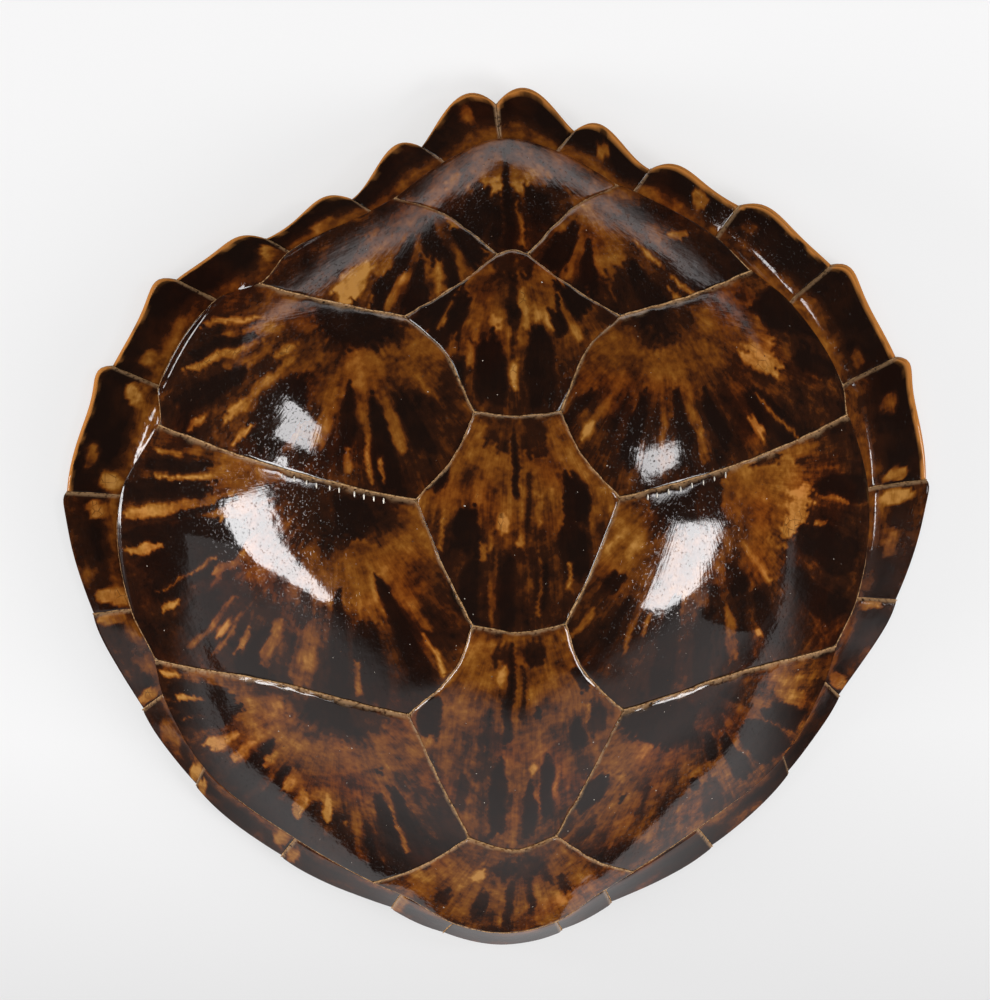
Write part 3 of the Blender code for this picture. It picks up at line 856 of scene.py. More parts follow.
def brim_pigment(name, strip, t, s, length):
    """Tone, fan coordinates and the painted light through the clear rim, for each place of a brim plate."""
    across = np.linalg.norm(strip[:, -1] - strip[:, 0], axis=1)[:, None]
    to_rim, along = (1 - s)[None] * across, t[:, None] * length
    row = int(name[1:].split("_")[0]) if name != "N" else 0
    shape = to_rim.shape
    stray = noise_at(strip.reshape(-1, 2), 9.0, row).reshape(shape)
    blotch = noise_at(strip.reshape(-1, 2), 22.0, 40.0 + row).reshape(shape)
    rear = row >= REAR_ROW
    inner = RUSSET if rear else BROWN
    outer = BLACK if rear else DARK
    tone = np.interp(s, (0, 0.18, 0.4, 0.75), (inner, inner, BLACK, outer))[None]
    tone = tone + (BLOTCH_REAR if rear else BLOTCH_FRONT) * np.minimum(blotch, 0.2)
    wide = CLEAR_WIDE * (0.4 + 0.9 * t[:, None]) + CLEAR_STRAY * stray
    wide = wide + (CLEAR_MORE if name.endswith("right") else 0.0)
    # the clear band: clear horn, and also the mask of the painted light shining through it
    clear = smoothstep(0.5 - (to_rim - wide) / CLEAR_SOFT) if rear else np.zeros(shape)
    tone = tone * (1 - clear) + AMBER * clear
    for at, out, half_along, half_across, level in PATCHES.get(name, ()):
        aside, beyond = (t[:, None] - at) * length / half_along, (s[None] - out) * across / half_across
        gap = np.hypot(aside, beyond)
        share = smoothstep((1.0 - gap + 0.5 * stray) / 0.35 + 0.5)
        tone = tone + share * (level - tone)
    fan = np.stack([to_rim * 1.3, along + 6.0 * stray, np.full(shape, 200.0 + 7 * row)], axis=-1)
    return tone, fan, clear


# %% A brim plate as a closed body
BRIM_THIN, BRIM_THICK = 0.6, 2.3  # the horn at the head end of a plate and at its lip, mm
ROLL_STEPS, ROLL_REACH = 5, 0.8  # points round the rim's edge, and how far it bulges, as a share of round
EDGE_SHARPNESS = 18.0  # how quickly the pull that makes room for the rolled edge fades inwards
GUTTER_DIP, RIM_RISE, BULGE = -2.0, 3.0, 2.6  # the brim dips along the gutter and lies flatter outside, mm
GUTTER_BEVEL, GUTTER_DROP = 2.4, 0.9  # the bevel where a plate meets the dome, mm
BRIM_SWELL, BRIM_SWELL_OVER = 0.5, 9.0  # each plate is swollen in its middle, mm
BRIM_DENT, BRIM_DENT_OVER = 0.16, 21.0  # and slightly uneven, mm
RELIEF = 1.0  # the horn's own lift makes up this much of a wall, mm
REST_FROM, REST_OVER = 0.7, 0.3  # the outer part of the underside, which is brought down to the floor
FLOOR_CLEAR = 0.05  # and ends this far above it, mm


def brim_lift(strip, t, s, length):
    """The lift of a brim plate and its wear."""
    across = np.linalg.norm(strip[:, -1] - strip[:, 0], axis=1)[:, None]
    to_rear, to_front = (1 - t)[:, None] * length, t[:, None] * length
    to_gutter = s[None] * across
    lift = BRIM_THIN + (BRIM_THICK - BRIM_THIN) * smoothstep(t)[:, None]
    at_gutter = (to_gutter, GUTTER_BEVEL, GUTTER_DROP)
    for gap, width, drop in ((to_rear, *BEVELS["back lip"]), (to_front, *BEVELS["tucked"]), at_gutter):
        lift = lift - drop * np.clip(1 - gap / width, 0, 1) ** 2
    swell = 1 - np.exp(-np.minimum(np.minimum(to_rear, to_front), to_gutter) / BRIM_SWELL_OVER)
    lift = lift + BRIM_SWELL * swell + GUTTER_DIP + (RIM_RISE - GUTTER_DIP) * s[None]
    lift = lift + BULGE * (s * (1 - s))[None]
    dents = noise_at(strip.reshape(-1, 2), BRIM_DENT_OVER, seed=4.1).reshape(lift.shape)
    lift = lift + BRIM_DENT * dents
    lip_width = BEVELS["back lip"][0]
    worn = 1 - smoothstep(to_rear / (1.1 * lip_width))
    return lift, np.broadcast_to(worn, lift.shape)


def brim_wall(share):
    """How thick the brim is from the gutter (0) to the rim (1)."""
    return np.interp(share, (0, 0.75, 1), (GUTTER_WALL - SUNK, LIP_WALL - RELIEF, RIM_WALL - RELIEF))


def down_to_floor(points):
    """Undersides of the rim, brought down to the floor where the shell rests."""
    angle = np.arctan2(points[..., 1] - CROWN_Y, points[..., 0])
    lowered = points.copy()
    lowered[..., 2] = np.maximum(points[..., 2], 0) * (1 - foot(angle))
    return lowered


def brim_body(strip, lift, s):
    """Points and faces: the outer face, a rounded edge, the underside, and a cap at each end."""
    top = on_shell(strip, lift - SUNK)
    wall = brim_wall(s)
    under = on_shell(strip, -SUNK - wall[None])
    resting = smoothstep((s - REST_FROM) / REST_OVER)[None, :, None]
    under = under * (1 - resting) + down_to_floor(under) * resting
    edge_top, edge_low = top[:, -1], under[:, -1]
    outward_way = edge_top - top[:, -3]
    outward_way /= np.linalg.norm(outward_way, axis=1, keepdims=True)
    half = np.linalg.norm(edge_top - edge_low, axis=1, keepdims=True) / 2
    turn = np.linspace(0, math.pi, ROLL_STEPS + 2)[1:-1]
    middle = (edge_top + edge_low) / 2
    bulge = ROLL_REACH * outward_way * half
    roll = [middle + (edge_top - middle) * math.cos(a) + bulge * math.sin(a) for a in turn]
    back = (half * ROLL_REACH)[:, None] * outward_way[:, None]
    ring = np.concatenate([top[:, :-1], top[:, -1:], np.stack(roll, axis=1), under[:, ::-1]], axis=1)
    near_edge = np.exp(-((1 - s) * EDGE_SHARPNESS))
    pull = np.concatenate([near_edge, np.ones(len(roll)), near_edge[::-1]])[None, :, None]
    ring = ring - back * pull
    ring[..., 2] = np.maximum(ring[..., 2], FLOOR_CLEAR)
    columns, around = ring.shape[:2]
    faces = []
    for i in range(columns - 1):
        for j in range(around):
            k = (j + 1) % around
            a, b = i * around, (i + 1) * around
            faces.append((a + j, a + k, b + k, b + j))
    faces.append(tuple(range(around))[::-1])
    faces.append(tuple((columns - 1) * around + j for j in range(around)))
    return ring.reshape(-1, 3), faces, around


def signed_volume(points, faces):
    """Positive where the faces look outwards."""
    total = 0.0
    for face in faces:
        a = points[face[0]]
        for b, c in zip(face[1:], face[2:]):
            total += float(np.dot(a, np.cross(points[b], points[c])))
    return total


def round_ring(value, extra):
    """Values over the outer face, repeated round the rolled edge and back along the underside."""
    edge = np.repeat(value[:, -1:], extra, axis=1)
    ring = np.concatenate([value, edge, value[:, ::-1]], axis=1)
    return ring.reshape(-1, *value.shape[2:])


for name, *shape in BRIM:
    strip, t, s, length = brim_strip(*shape)
    lift, worn = brim_lift(strip, t, s, length)
    tone, fan, clear = brim_pigment(name, strip, t, s, length)
    points, faces, around = brim_body(strip, lift, s)
    if signed_volume(points, faces) < 0:
        faces = [face[::-1] for face in faces]
    values = {"worn": worn, "pigment": tone, "fan": fan, "painted_backlight": clear}
    ringed = {key: round_ring(value, around - 2 * len(s)) for key, value in values.items()}
    horn_pieces[name] = new_piece(f"plate_{name}", points, faces, ringed)
print(len(horn_pieces), "plates,", sum(len(p.data.polygons) for p in horn_pieces.values()), "faces")

# %% [markdown]
# ## The bone under the horn
# Under the horn the shell is bone: ribs broadened into plates and fused to the backbone. Only the
# underside shows it. One closed body from two nets over the same places gives the wall its thickness.

# %% The bone dome
WALL = 6.5  # bone and horn together, mm
BONE_STEPS = np.concatenate([np.linspace(0.02, 0.9, 70), np.linspace(0.92, 0.992, 6)])
BONE_COLUMNS = 480  # points round each ring of the net
HORN_GAP = 0.3  # between the horn's inner face and the bone, mm
SPINE_RISE, SPINE_HALF, VERTEBRA = 5.0, 8.0, 42.0  # the backbone's rise, half width and bone length, mm
RIB_RISE, RIB_HALF, RIB_REACH = 2.4, 6.5, 235.0  # each rib's rise, half width and reach to the side, mm
# where each pair of ribs leaves the backbone, and where it ends at the gutter: y, mm
RIBS = [(-175, -215), (-125, -150), (-80, -85), (-32, -15), (16, 52), (62, 112), (106, 170), (150, 212)]
# the fine, wavy seam between two broadened ribs: depth, half width and sway, mm
SUTURE, SUTURE_HALF, SUTURE_SWAY = 0.7, 1.6, 1.5


def inner_relief(x, y, suture=SUTURE):
    """How far the backbone and the ribs stand in from the dome's inner surface."""
    spine = SPINE_RISE * np.exp(-((x / SPINE_HALF) ** 2)) * (0.82 + 0.18 * np.cos(TURN * y / VERTEBRA))
    out = np.clip(np.abs(x) / RIB_REACH, 0, 1)
    relief = spine
    middles = []
    for start, end in RIBS:
        middle = start + (end - start) * out**1.2
        middles.append(middle)
        rib = RIB_RISE * (1 - 0.5 * out) * np.exp(-(((y - middle) / RIB_HALF) ** 2))
        relief = np.maximum(relief, rib)
    for before, after in zip(middles, middles[1:]):
        between = (before + after) / 2 + SUTURE_SWAY * np.sin(x / 3.1)
        groove = suture * np.exp(-(((y - between) / SUTURE_HALF) ** 2))
        relief = relief - groove * (np.abs(x) > SPINE_HALF)
    return relief


def bone_dome():
    """The bone as one closed body: points in mm and faces."""
    angle = np.linspace(-math.pi, math.pi, BONE_COLUMNS + 1)[:-1]
    radius = read_curve(GUTTER, RADIUS, angle)
    plan = np.stack([np.cos(angle), np.sin(angle)], axis=1) * radius[:, None]
    places = np.array([0, CROWN_Y]) + plan[None] * BONE_STEPS[:, None, None]
    wall = np.interp(BONE_STEPS, (0, 0.9, 0.99), (WALL, WALL, GUTTER_WALL - RELIEF))[:, None]
    fade = 1 - smoothstep((BONE_STEPS - 0.86) / 0.1)[:, None]
    outside = on_shell(places, -SUNK - UNDER - HORN_GAP)
    within = on_shell(places, -wall - fade * inner_relief(places[..., 0], places[..., 1]))
    rings = np.concatenate([outside, within[::-1]])
    count, around = rings.shape[:2]
    faces = []
    for i in range(count - 1):
        for j in range(around):
            k = (j + 1) % around
            faces.append((i * around + j, (i + 1) * around + j, (i + 1) * around + k, i * around + k))
    last = (count - 1) * around
    faces.append(tuple(range(around)))
    faces.append(tuple(last + j for j in range(around))[::-1])
    return rings.reshape(-1, 3), faces


points, faces = bone_dome()
if signed_volume(points, faces) < 0:
    faces = [face[::-1] for face in faces]
rise = inner_relief(points[:, 0], points[:, 1], 4 * SUTURE)
bone = new_piece("bone", points, faces, {"rise": rise})
print("bone:", len(faces), "faces, relief of the ribs up to", round(float(rise.max()), 1), "mm")

# %% [markdown]
# ## The finishes
# Tortoiseshell is clear, yellow horn with clouds of brown-black pigment in it, drawn out in fine streaks
# along the way it grew. The tone of each place is carried by the plates as an attribute. The shader adds
# the streaks, too fine for the mesh, and a colour ramp turns tone into colour, so a blotch gets a ragged,
# streaky edge with a red-brown border, as real horn has. Thick gloss lacquer is a coat over everything.
# Worn lips are tan, because the horn there is frayed and full of air.

# %% A few helpers for building shaders
def plain(name, colour, rough):
    """A material of one colour, and the tree and main shader to build on."""
    material = bpy.data.materials.new(name)
    material.use_nodes = True
    shader = material.node_tree.nodes["Principled BSDF"]
    shader.inputs["Base Color"].default_value = (*colour, 1)
    shader.inputs["Roughness"].default_value = rough
    return material, material.node_tree, shader


def add(tree, kind, settings=None, **inputs):
    """A node with its settings, and its inputs set to constants or linked to sockets."""
    made = tree.nodes.new(kind)
    for key, value in (settings or {}).items():
        setattr(made, key, value)
    for key, value in inputs.items():
        socket = made.inputs[int(key[1:])] if key[0] == "i" and key[1:].isdigit() else made.inputs[key]
        if isinstance(value, bpy.types.NodeSocket):
            tree.links.new(value, socket)
        else:
            socket.default_value = value
    return made


def maths(tree, operation, first, second=0.0):
    """One step of arithmetic on two values."""
    return add(tree, "ShaderNodeMath", {"operation": operation}, i0=first, i1=second).outputs[0]


def mixed(tree, share, first, second):
    """One colour over another."""
    return add(tree, "ShaderNodeMix", {"data_type": "RGBA"}, i0=share, i6=first, i7=second).outputs[2]


def times(tree, first, second):
    """The product of two values."""
    return maths(tree, "MULTIPLY", first, second)


def plus(tree, first, second):
    """The sum of two values."""
    return maths(tree, "ADD", first, second)


def swing(tree, value, middle, strength):
    """How far a value strays from its middle, times a strength."""
    return times(tree, maths(tree, "SUBTRACT", value, middle), strength)


def ranged(tree, value, start, end, low=0.0, high=1.0):
    """A value read along a range: low up to its start, and high from its end."""
    return add(tree, "ShaderNodeMapRange", i0=value, i1=start, i2=end, i3=low, i4=high).outputs[0]


def carried(tree, name, output="Fac"):
    """A value that every point of the piece carries under this name."""
    return add(tree, "ShaderNodeAttribute", {"attribute_name": name}).outputs[output]


def place_in(tree):
    """The place of each point of the piece, in metres."""
    return add(tree, "ShaderNodeTexCoord").outputs["Object"]


def ramp(tree, value, stops):
    """A colour ramp through (position, colour) stops."""
    made = add(tree, "ShaderNodeValToRGB", i0=value)
    elements = made.color_ramp.elements
    for at, colour in stops[2:]:
        elements.new(at)
    for element, (at, colour) in zip(elements, sorted(stops)):
        element.position = at
        element.color = (*colour, 1)
    return made.outputs[0]


def stretched_noise(tree, vector, scale, detail=2.0):
    """Noise in coordinates that are scaled first, 0 to 1."""
    scaled = add(tree, "ShaderNodeVectorMath", {"operation": "MULTIPLY"}, i0=vector, i1=scale).outputs[0]
    return add(tree, "ShaderNodeTexNoise", Vector=scaled, Scale=1.0, Detail=detail).outputs[0]


def even_noise(tree, vector, scale, detail):
    """Noise that is as coarse in every direction, 0 to 1."""
    return stretched_noise(tree, vector, (scale, scale, scale), detail)


# %% Tortoiseshell: what each point carries
# the colour of horn from clear to black, of the frayed horn, and the painted light through the clear rim
HORN_COLOURS = [
    (0.0, (0.42, 0.195, 0.045)), (0.16, (0.29, 0.118, 0.020)), (0.30, (0.195, 0.066, 0.009)),
    (0.43, (0.136, 0.040, 0.006)), (0.56, (0.072, 0.0200, 0.005)), (0.70, (0.027, 0.0090, 0.0042)),
    (1.0, (0.010, 0.0050, 0.0036)),
]
TAN = (0.33, 0.195, 0.10, 1)
# painted light: the clear rim coloured as if lit from behind
PAINTED_RIM_BACKLIGHT = (0.56, 0.22, 0.05, 1)
EMBER = (1.05, 0.72, 0.62, 1)  # multiplied in where the horn is redder
CRAZE = (0.06, 0.02, 0.006, 1)  # fine dark cracks in the palest horn

horn, tree, shader = plain("tortoiseshell", (0.06, 0.02, 0.006), 0.42)
fan, tone = carried(tree, "fan", "Vector"), carried(tree, "pigment")
worn, painted_backlight = carried(tree, "worn"), carried(tree, "painted_backlight")
place = place_in(tree)
from_centre = add(tree, "ShaderNodeSeparateXYZ", Vector=fan).outputs[1]  # mm

# %% Tortoiseshell: streaks and clouds of pigment
# streaks lie along the fan and grow stronger away from its centre; clouds lie anyhow
fine = stretched_noise(tree, fan, (0.9, 0.05, 1.0), 3.0)
broad = stretched_noise(tree, fan, (0.16, 0.030, 1.0), 3.0)
broad_streaks = swing(tree, broad, 0.5, ranged(tree, from_centre, 40.0, 115.0, 0.18, 0.80))
fine_streaks = swing(tree, fine, 0.5, ranged(tree, from_centre, 35.0, 95.0, 0.05, 0.34))
streaks = plus(tree, broad_streaks, fine_streaks)
drift = even_noise(tree, place, 26.0, 1.0)
cloud = even_noise(tree, place, 75.0, 4.0)
grain = even_noise(tree, place, 230.0, 4.0)
cloud = plus(tree, cloud, swing(tree, grain, 0.5, 0.62))
clouds = plus(tree, swing(tree, cloud, 0.48, 0.78), swing(tree, drift, 0.48, 0.55))
steady = ranged(tree, tone, 0.74, 0.97, 1.0, 0.30)  # black horn strays less than brown
strayed = plus(tree, tone, times(tree, plus(tree, streaks, clouds), steady))
colour = ramp(tree, strayed, HORN_COLOURS)

# %% Tortoiseshell: redder patches, painted light through the clear rim, crazing and worn lips
ember = ranged(tree, even_noise(tree, place, 22.0, 1.0), 0.48, 0.68, 0.0, 0.55)
reddened = add(tree, "ShaderNodeMix", {"data_type": "RGBA", "blend_type": "MULTIPLY"},
               i0=ember, i6=colour, i7=EMBER).outputs[2]
# the clear rim is painted brighter, as painted light shining through thin horn
bright = mixed(tree, times(tree, painted_backlight, 0.75), reddened, PAINTED_RIM_BACKLIGHT)
cells = add(tree, "ShaderNodeTexVoronoi", {"feature": "DISTANCE_TO_EDGE"}, Vector=place, Scale=170.0)
craze = ranged(tree, cells.outputs[0], 0.015, 0.05, 0.75, 0.0)
clear_horn = times(tree, ranged(tree, strayed, 0.16, 0.30, 1.0, 0.0), ranged(tree, drift, 0.50, 0.56))
bright = mixed(tree, times(tree, craze, clear_horn), bright, CRAZE)
tatter = even_noise(tree, place, 420.0, 2.0)
bare = times(tree, worn, ranged(tree, tatter, 0.3, 0.5))
tree.links.new(mixed(tree, bare, bright, TAN), shader.inputs["Base Color"])

# %% Tortoiseshell: the lacquer's skin
# the coat follows the growth lines below it, sags slowly between them, and is pitted by dust
growth_lines = plus(tree, times(tree, fine, 0.5), times(tree, tatter, 0.25))
sag = even_noise(tree, place, 70.0, 2.0)
skin = plus(tree, growth_lines, times(tree, sag, 2.6))
bump = add(tree, "ShaderNodeBump", Strength=0.13, Distance=0.0006, Height=skin).outputs[0]
dust = even_noise(tree, place, 620.0, 3.0)
pits = ranged(tree, dust, 0.62, 0.74, 1.0, 0.0)
bump = add(tree, "ShaderNodeBump", Strength=0.5, Distance=0.00008, Height=pits, Normal=bump).outputs[0]
tree.links.new(bump, shader.inputs["Normal"])
tree.links.new(bump, shader.inputs["Coat Normal"])
shader.inputs["Coat Weight"].default_value = 1.0
shader.inputs["Coat Roughness"].default_value = 0.06
shader.inputs["Specular IOR Level"].default_value = 0.0
print("tortoiseshell:", len(tree.nodes), "nodes")

# %% Bone
bone_finish, tree, shader = plain("bone", (0.6, 0.5, 0.36), 0.62)
place = place_in(tree)
stain = even_noise(tree, place, 14.0, 4.0)
pores = even_noise(tree, place, 240.0, 4.0)
mottle = plus(tree, times(tree, stain, 0.75), times(tree, pores, 0.25))
mottle = plus(tree, mottle, times(tree, carried(tree, "rise"), 0.045))  # ribs and backbone are paler
bone_colours = [(0.34, (0.22, 0.13, 0.055)), (0.5, (0.48, 0.35, 0.20)), (0.70, (0.68, 0.58, 0.42))]
tree.links.new(ramp(tree, mottle, bone_colours), shader.inputs["Base Color"])
bump = add(tree, "ShaderNodeBump", Strength=0.35, Distance=0.0008, Height=pores).outputs[0]
tree.links.new(bump, shader.inputs["Normal"])

# %% [markdown]
# ## The seams
# Where one plate meets the next, the horn's edge is frayed to a pale, crusty line. It follows every seam
# and is never quite as wide in two places, so Geometry Nodes make it: a chain of edges along each seam is
# turned into a curve, and a small round section is swept along it with a radius that wanders.

# %% Chains of edges along every seam
# height of the crust over the sunk dome, mm
CRUST_LIFT = {"costal lip": 0.75, "other": 0.45, "round": 0.1, "brim": 0.7}
CRUST_SHORT = 0.5  # how far the crust of a brim seam stops short of the rim, mm
CHAIN_POINTS = 18  # along a brim seam


def brim_seam(row, side):
    """The seam between two plates of the brim, from the gutter to the rim."""
    gutter, rim = SEAMS[row][0], SEAMS[row][1]
    near, far = (about_crown(point, side)[0] for point in (gutter, rim))
    start = np.array([np.cos(near), np.sin(near)]) * seam_radius(near)
    reach = read_curve(NOTCHES, RADIUS, far) - RIM_CLEAR - CRUST_SHORT
    end = np.array([np.cos(far), np.sin(far)]) * reach
    share = np.linspace(0, 1, CHAIN_POINTS)[:, None]
    path = np.array([0.0, CROWN_Y]) + start + (end - start) * share
    return wandering(path)


def seam_chains():
    """Points in mm along every seam of the back and the brim, and the edges that join them."""
    chains = []
    for name, path in seams.items():
        kind = "costal lip" if name[0] == "c" and "|c" in name else "other"
        lift = CRUST_LIFT["round" if "|" not in name else kind]
        chains.append(on_shell(path, lift - SUNK))
    for row in range(1, len(SEAMS)):
        for side in (1, -1):
            if row < len(SEAMS) - 1 or side == 1:
                share = np.linspace(0, 1, CHAIN_POINTS)
                lift = CRUST_LIFT["brim"] + GUTTER_DIP + (RIM_RISE - GUTTER_DIP) * share
                chains.append(on_shell(brim_seam(row, side), lift - SUNK))
    points = np.concatenate(chains)
    edges, first = [], 0
    for chain in chains:
        edges += [(first + k, first + k + 1) for k in range(len(chain) - 1)]
        first += len(chain)
    return points, edges, len(chains)


points, edges, count = seam_chains()
seam_mesh = bpy.data.meshes.new("seam_crust")
seam_mesh.from_pydata((points * MM).tolist(), edges, [])
seam_crust = in_scene("seam_crust", seam_mesh)
print(count, "seams,", len(points), "points along them")


# %% The Geometry Nodes tree that sweeps the crust
def new_tree(name, inputs):
    """A geometry tree with named number inputs, its input node and its output node."""
    made = bpy.data.node_groups.new(name, "GeometryNodeTree")
    made.interface.new_socket("Geometry", in_out="INPUT", socket_type="NodeSocketGeometry")
    for key, (kind, value) in inputs.items():
        socket = made.interface.new_socket(key, in_out="INPUT", socket_type=kind)
        if value is not None:
            socket.default_value = value
    made.interface.new_socket("Geometry", in_out="OUTPUT", socket_type="NodeSocketGeometry")
    return made, made.nodes.new("NodeGroupInput"), made.nodes.new("NodeGroupOutput")


def grow(piece, tree_made, values):
    """The piece with the tree applied, its inputs set first, as a plain mesh."""
    modifier = piece.modifiers.new("grow", "NODES")
    modifier.node_group = tree_made
    for item in tree_made.interface.items_tree:
        if item.in_out == "INPUT" and item.name in values:
            modifier[item.identifier] = values[item.name]
    bpy.context.view_layer.update()
    grown = piece.evaluated_get(bpy.context.evaluated_depsgraph_get())
    made = bpy.data.meshes.new_from_object(grown)
    piece.modifiers.clear()
    piece.data = made
    made.shade_smooth()
    return piece


# %% The crust's finish, and sweeping it
CRUST_COLOURS = [(0.34, (0.12, 0.05, 0.015)), (0.5, (0.36, 0.20, 0.08)), (0.68, (0.50, 0.31, 0.15))]
crust_finish, tree, shader = plain("seam_crust", (0.44, 0.285, 0.155), 0.7)
crumbs = even_noise(tree, place_in(tree), 500.0, 3.0)
tree.links.new(ramp(tree, crumbs, CRUST_COLOURS), shader.inputs["Base Color"])
shader.inputs["Specular IOR Level"].default_value = 0.2

sweep_inputs = {
    "Radius": ("NodeSocketFloat", 0.0006), "Wander": ("NodeSocketFloat", 0.5),
    "Step": ("NodeSocketFloat", 0.0012), "Seed": ("NodeSocketFloat", 4.0),
    "Finish": ("NodeSocketMaterial", None),
}
SWELL_SCALE, SWELL_GAIN = 260.0, 4.0  # how fine the changes of width are, and how strong
sweep_tree, given, result = new_tree("sweep_seams", sweep_inputs)
curves = add(sweep_tree, "GeometryNodeMeshToCurve", i0=given.outputs[0]).outputs[0]
evened = add(sweep_tree, "GeometryNodeResampleCurve", {"mode": "LENGTH"},
             Curve=curves, Length=given.outputs["Step"])
swell = add(sweep_tree, "ShaderNodeTexNoise", {"noise_dimensions": "4D"},
            Scale=SWELL_SCALE, Detail=2.0, W=given.outputs["Seed"])
spread = swing(sweep_tree, swell.outputs[0], 0.5, SWELL_GAIN)
spread = times(sweep_tree, spread, given.outputs["Wander"])
width = times(sweep_tree, plus(sweep_tree, spread, 1.0), given.outputs["Radius"])
section = add(sweep_tree, "GeometryNodeCurvePrimitiveCircle", Resolution=7, Radius=1.0)
swept = add(sweep_tree, "GeometryNodeCurveToMesh", i0=evened.outputs[0], i1=section.outputs[0], Scale=width)
swept.inputs["Fill Caps"].default_value = True
whole = add(sweep_tree, "GeometryNodeRealizeInstances", Geometry=swept.outputs[0])
painted = add(sweep_tree, "GeometryNodeSetMaterial",
              Geometry=whole.outputs[0], Material=given.outputs["Finish"])
sweep_tree.links.new(painted.outputs[0], result.inputs[0])
crust_sizes = {"Radius": 0.00052, "Wander": 0.5, "Step": 0.0012, "Seed": 4.0}  # m
grow(seam_crust, sweep_tree, {**crust_sizes, "Finish": crust_finish})
crust_box = [round(side / MM, 1) for side in seam_crust.dimensions]
print("crust:", len(seam_crust.data.polygons), "faces, box mm", crust_box)

# %% [markdown]
# ## Specks and drips in the lacquer
# Lacquer brushed on by hand catches dust, and it gathers in drips under a thick lip. Each speck is a low
# bead a fraction of a millimetre high, and each drip a longer one. Some specks are painted pale, partly as
# dust and partly as painted glints, and every drip is painted pale as a painted glint. Their places are
# found by dropping points on the finished horn. Geometry Nodes set one small bead on each point, stretched
# by an attribute.

# %% Places for the specks and drips
SPECKS = 520
SPECK_SIZE, SPECK_SPREAD, SPECK_HEIGHT = 0.20, 0.34, 0.45  # smallest, how much more, height as a share
DUSTY_SHARE, PALE_DUST_AND_GLINT = 0.3, 0.6  # how many specks are pale, and how pale: dust in the lacquer, and partly painted glints
SPECK_REACH = 0.94  # share of the dome's area, from its middle, that has specks
DRIPS = {"c2|c3 left": (20, 92), "c2|c3 right": (18, 76)}  # seam: start and end of its drips along it, mm
DRIP_ASIDE, DRIP_BEHIND = 0.2, -4.4  # where a drip lies from its seam, mm
DRIP_WIDE, DRIP_LONG, DRIP_LONGER, DRIP_HIGH = 0.55, 1.7, 0.8, 0.7  # mm
DRIP_STEP, DRIP_STRAY = 6.2, 2.4  # between drips, mm
rng = np.random.default_rng(11)


def surface_tree():
    """The outside of all plates of the back, as one tree that can be hit by rays."""
    points, faces, first = [], [], 0
    for name in back_plates:
        mesh = horn_pieces[name].data
        points += [v.co.copy() for v in mesh.vertices]
        faces += [tuple(first + k for k in face.vertices) for face in mesh.polygons]
        first = len(points)
    return BVHTree.FromPolygons(points, faces)


horn_surface = surface_tree()


def drop_on_horn(x, y):
    """The point of the horn under a place in plan, in metres, or nothing if there is none."""
    return horn_surface.ray_cast(Vector((x * MM, y * MM, 1.0)), Vector((0, 0, -1)))[0]


beads, sizes, dust_and_painted_glint = [], [], []
while len(beads) < SPECKS:
    angle, out = rng.uniform(-math.pi, math.pi), math.sqrt(rng.uniform(0, SPECK_REACH))
    reach = out * float(seam_radius(angle))
    hit = drop_on_horn(reach * math.cos(angle), CROWN_Y + reach * math.sin(angle))
    size = SPECK_SIZE + SPECK_SPREAD * rng.random() ** 3
    if hit:
        beads.append(hit)
        sizes.append((size, size, SPECK_HEIGHT * size))
        dust_and_painted_glint.append(PALE_DUST_AND_GLINT if rng.random() < DUSTY_SHARE else 0.0)
for name, (start, end) in DRIPS.items():
    path = seams[name]
    along = start
    while along < end:
        x, y = path[int(along / SEAM_STEP)]
        hit = drop_on_horn(x + DRIP_ASIDE, y + DRIP_BEHIND)
        if hit:
            beads.append(hit)
            sizes.append((DRIP_WIDE, DRIP_LONG + DRIP_LONGER * rng.random(), DRIP_HIGH))
            # a drip is painted pale all over, as a painted glint
            dust_and_painted_glint.append(1.0)
        along += DRIP_STEP + DRIP_STRAY * rng.random()
bead_mesh = bpy.data.meshes.new("lacquer_beads")
bead_mesh.from_pydata(beads, [], [])
stretch = bead_mesh.attributes.new("stretch", "FLOAT_VECTOR", "POINT")
stretch.data.foreach_set("vector", np.array(sizes, np.float32).ravel())
bead_mesh.attributes.new("dust_and_painted_glint", "FLOAT", "POINT").data.foreach_set("value", dust_and_painted_glint)
lacquer_beads = in_scene("lacquer_beads", bead_mesh)
print(len(beads), "places for beads,", sum(value > 0 for value in dust_and_painted_glint), "of them milky")

# %% The Geometry Nodes tree that sets a bead on each point
lacquer, tree, shader = plain("lacquer_bead", (0.09, 0.035, 0.010), 0.25)
# pale beads: dust on the specks, and painted glints on the drips
bead_dust_and_glint_colour = ramp(tree, carried(tree, "dust_and_painted_glint"), [(0.0, (0.07, 0.028, 0.010)), (1.0, (0.80, 0.74, 0.64))])
tree.links.new(bead_dust_and_glint_colour, shader.inputs["Base Color"])
shader.inputs["Coat Weight"].default_value = 1.0
shader.inputs["Coat Roughness"].default_value = 0.03
bead_inputs = {"Bead": ("NodeSocketFloat", 0.001), "Finish": ("NodeSocketMaterial", None)}
bead_tree, given, result = new_tree("set_beads", bead_inputs)
ball = add(bead_tree, "GeometryNodeMeshIcoSphere", Radius=given.outputs["Bead"], Subdivisions=2)
wanted = add(bead_tree, "GeometryNodeInputNamedAttribute", {"data_type": "FLOAT_VECTOR"}, Name="stretch")
placed = add(bead_tree, "GeometryNodeInstanceOnPoints",
             Points=given.outputs[0], Instance=ball.outputs[0], Scale=wanted.outputs[0])
smooth = add(bead_tree, "GeometryNodeRealizeInstances", Geometry=placed.outputs[0])
painted = add(bead_tree, "GeometryNodeSetMaterial",
              Geometry=smooth.outputs[0], Material=given.outputs["Finish"])
bead_tree.links.new(painted.outputs[0], result.inputs[0])
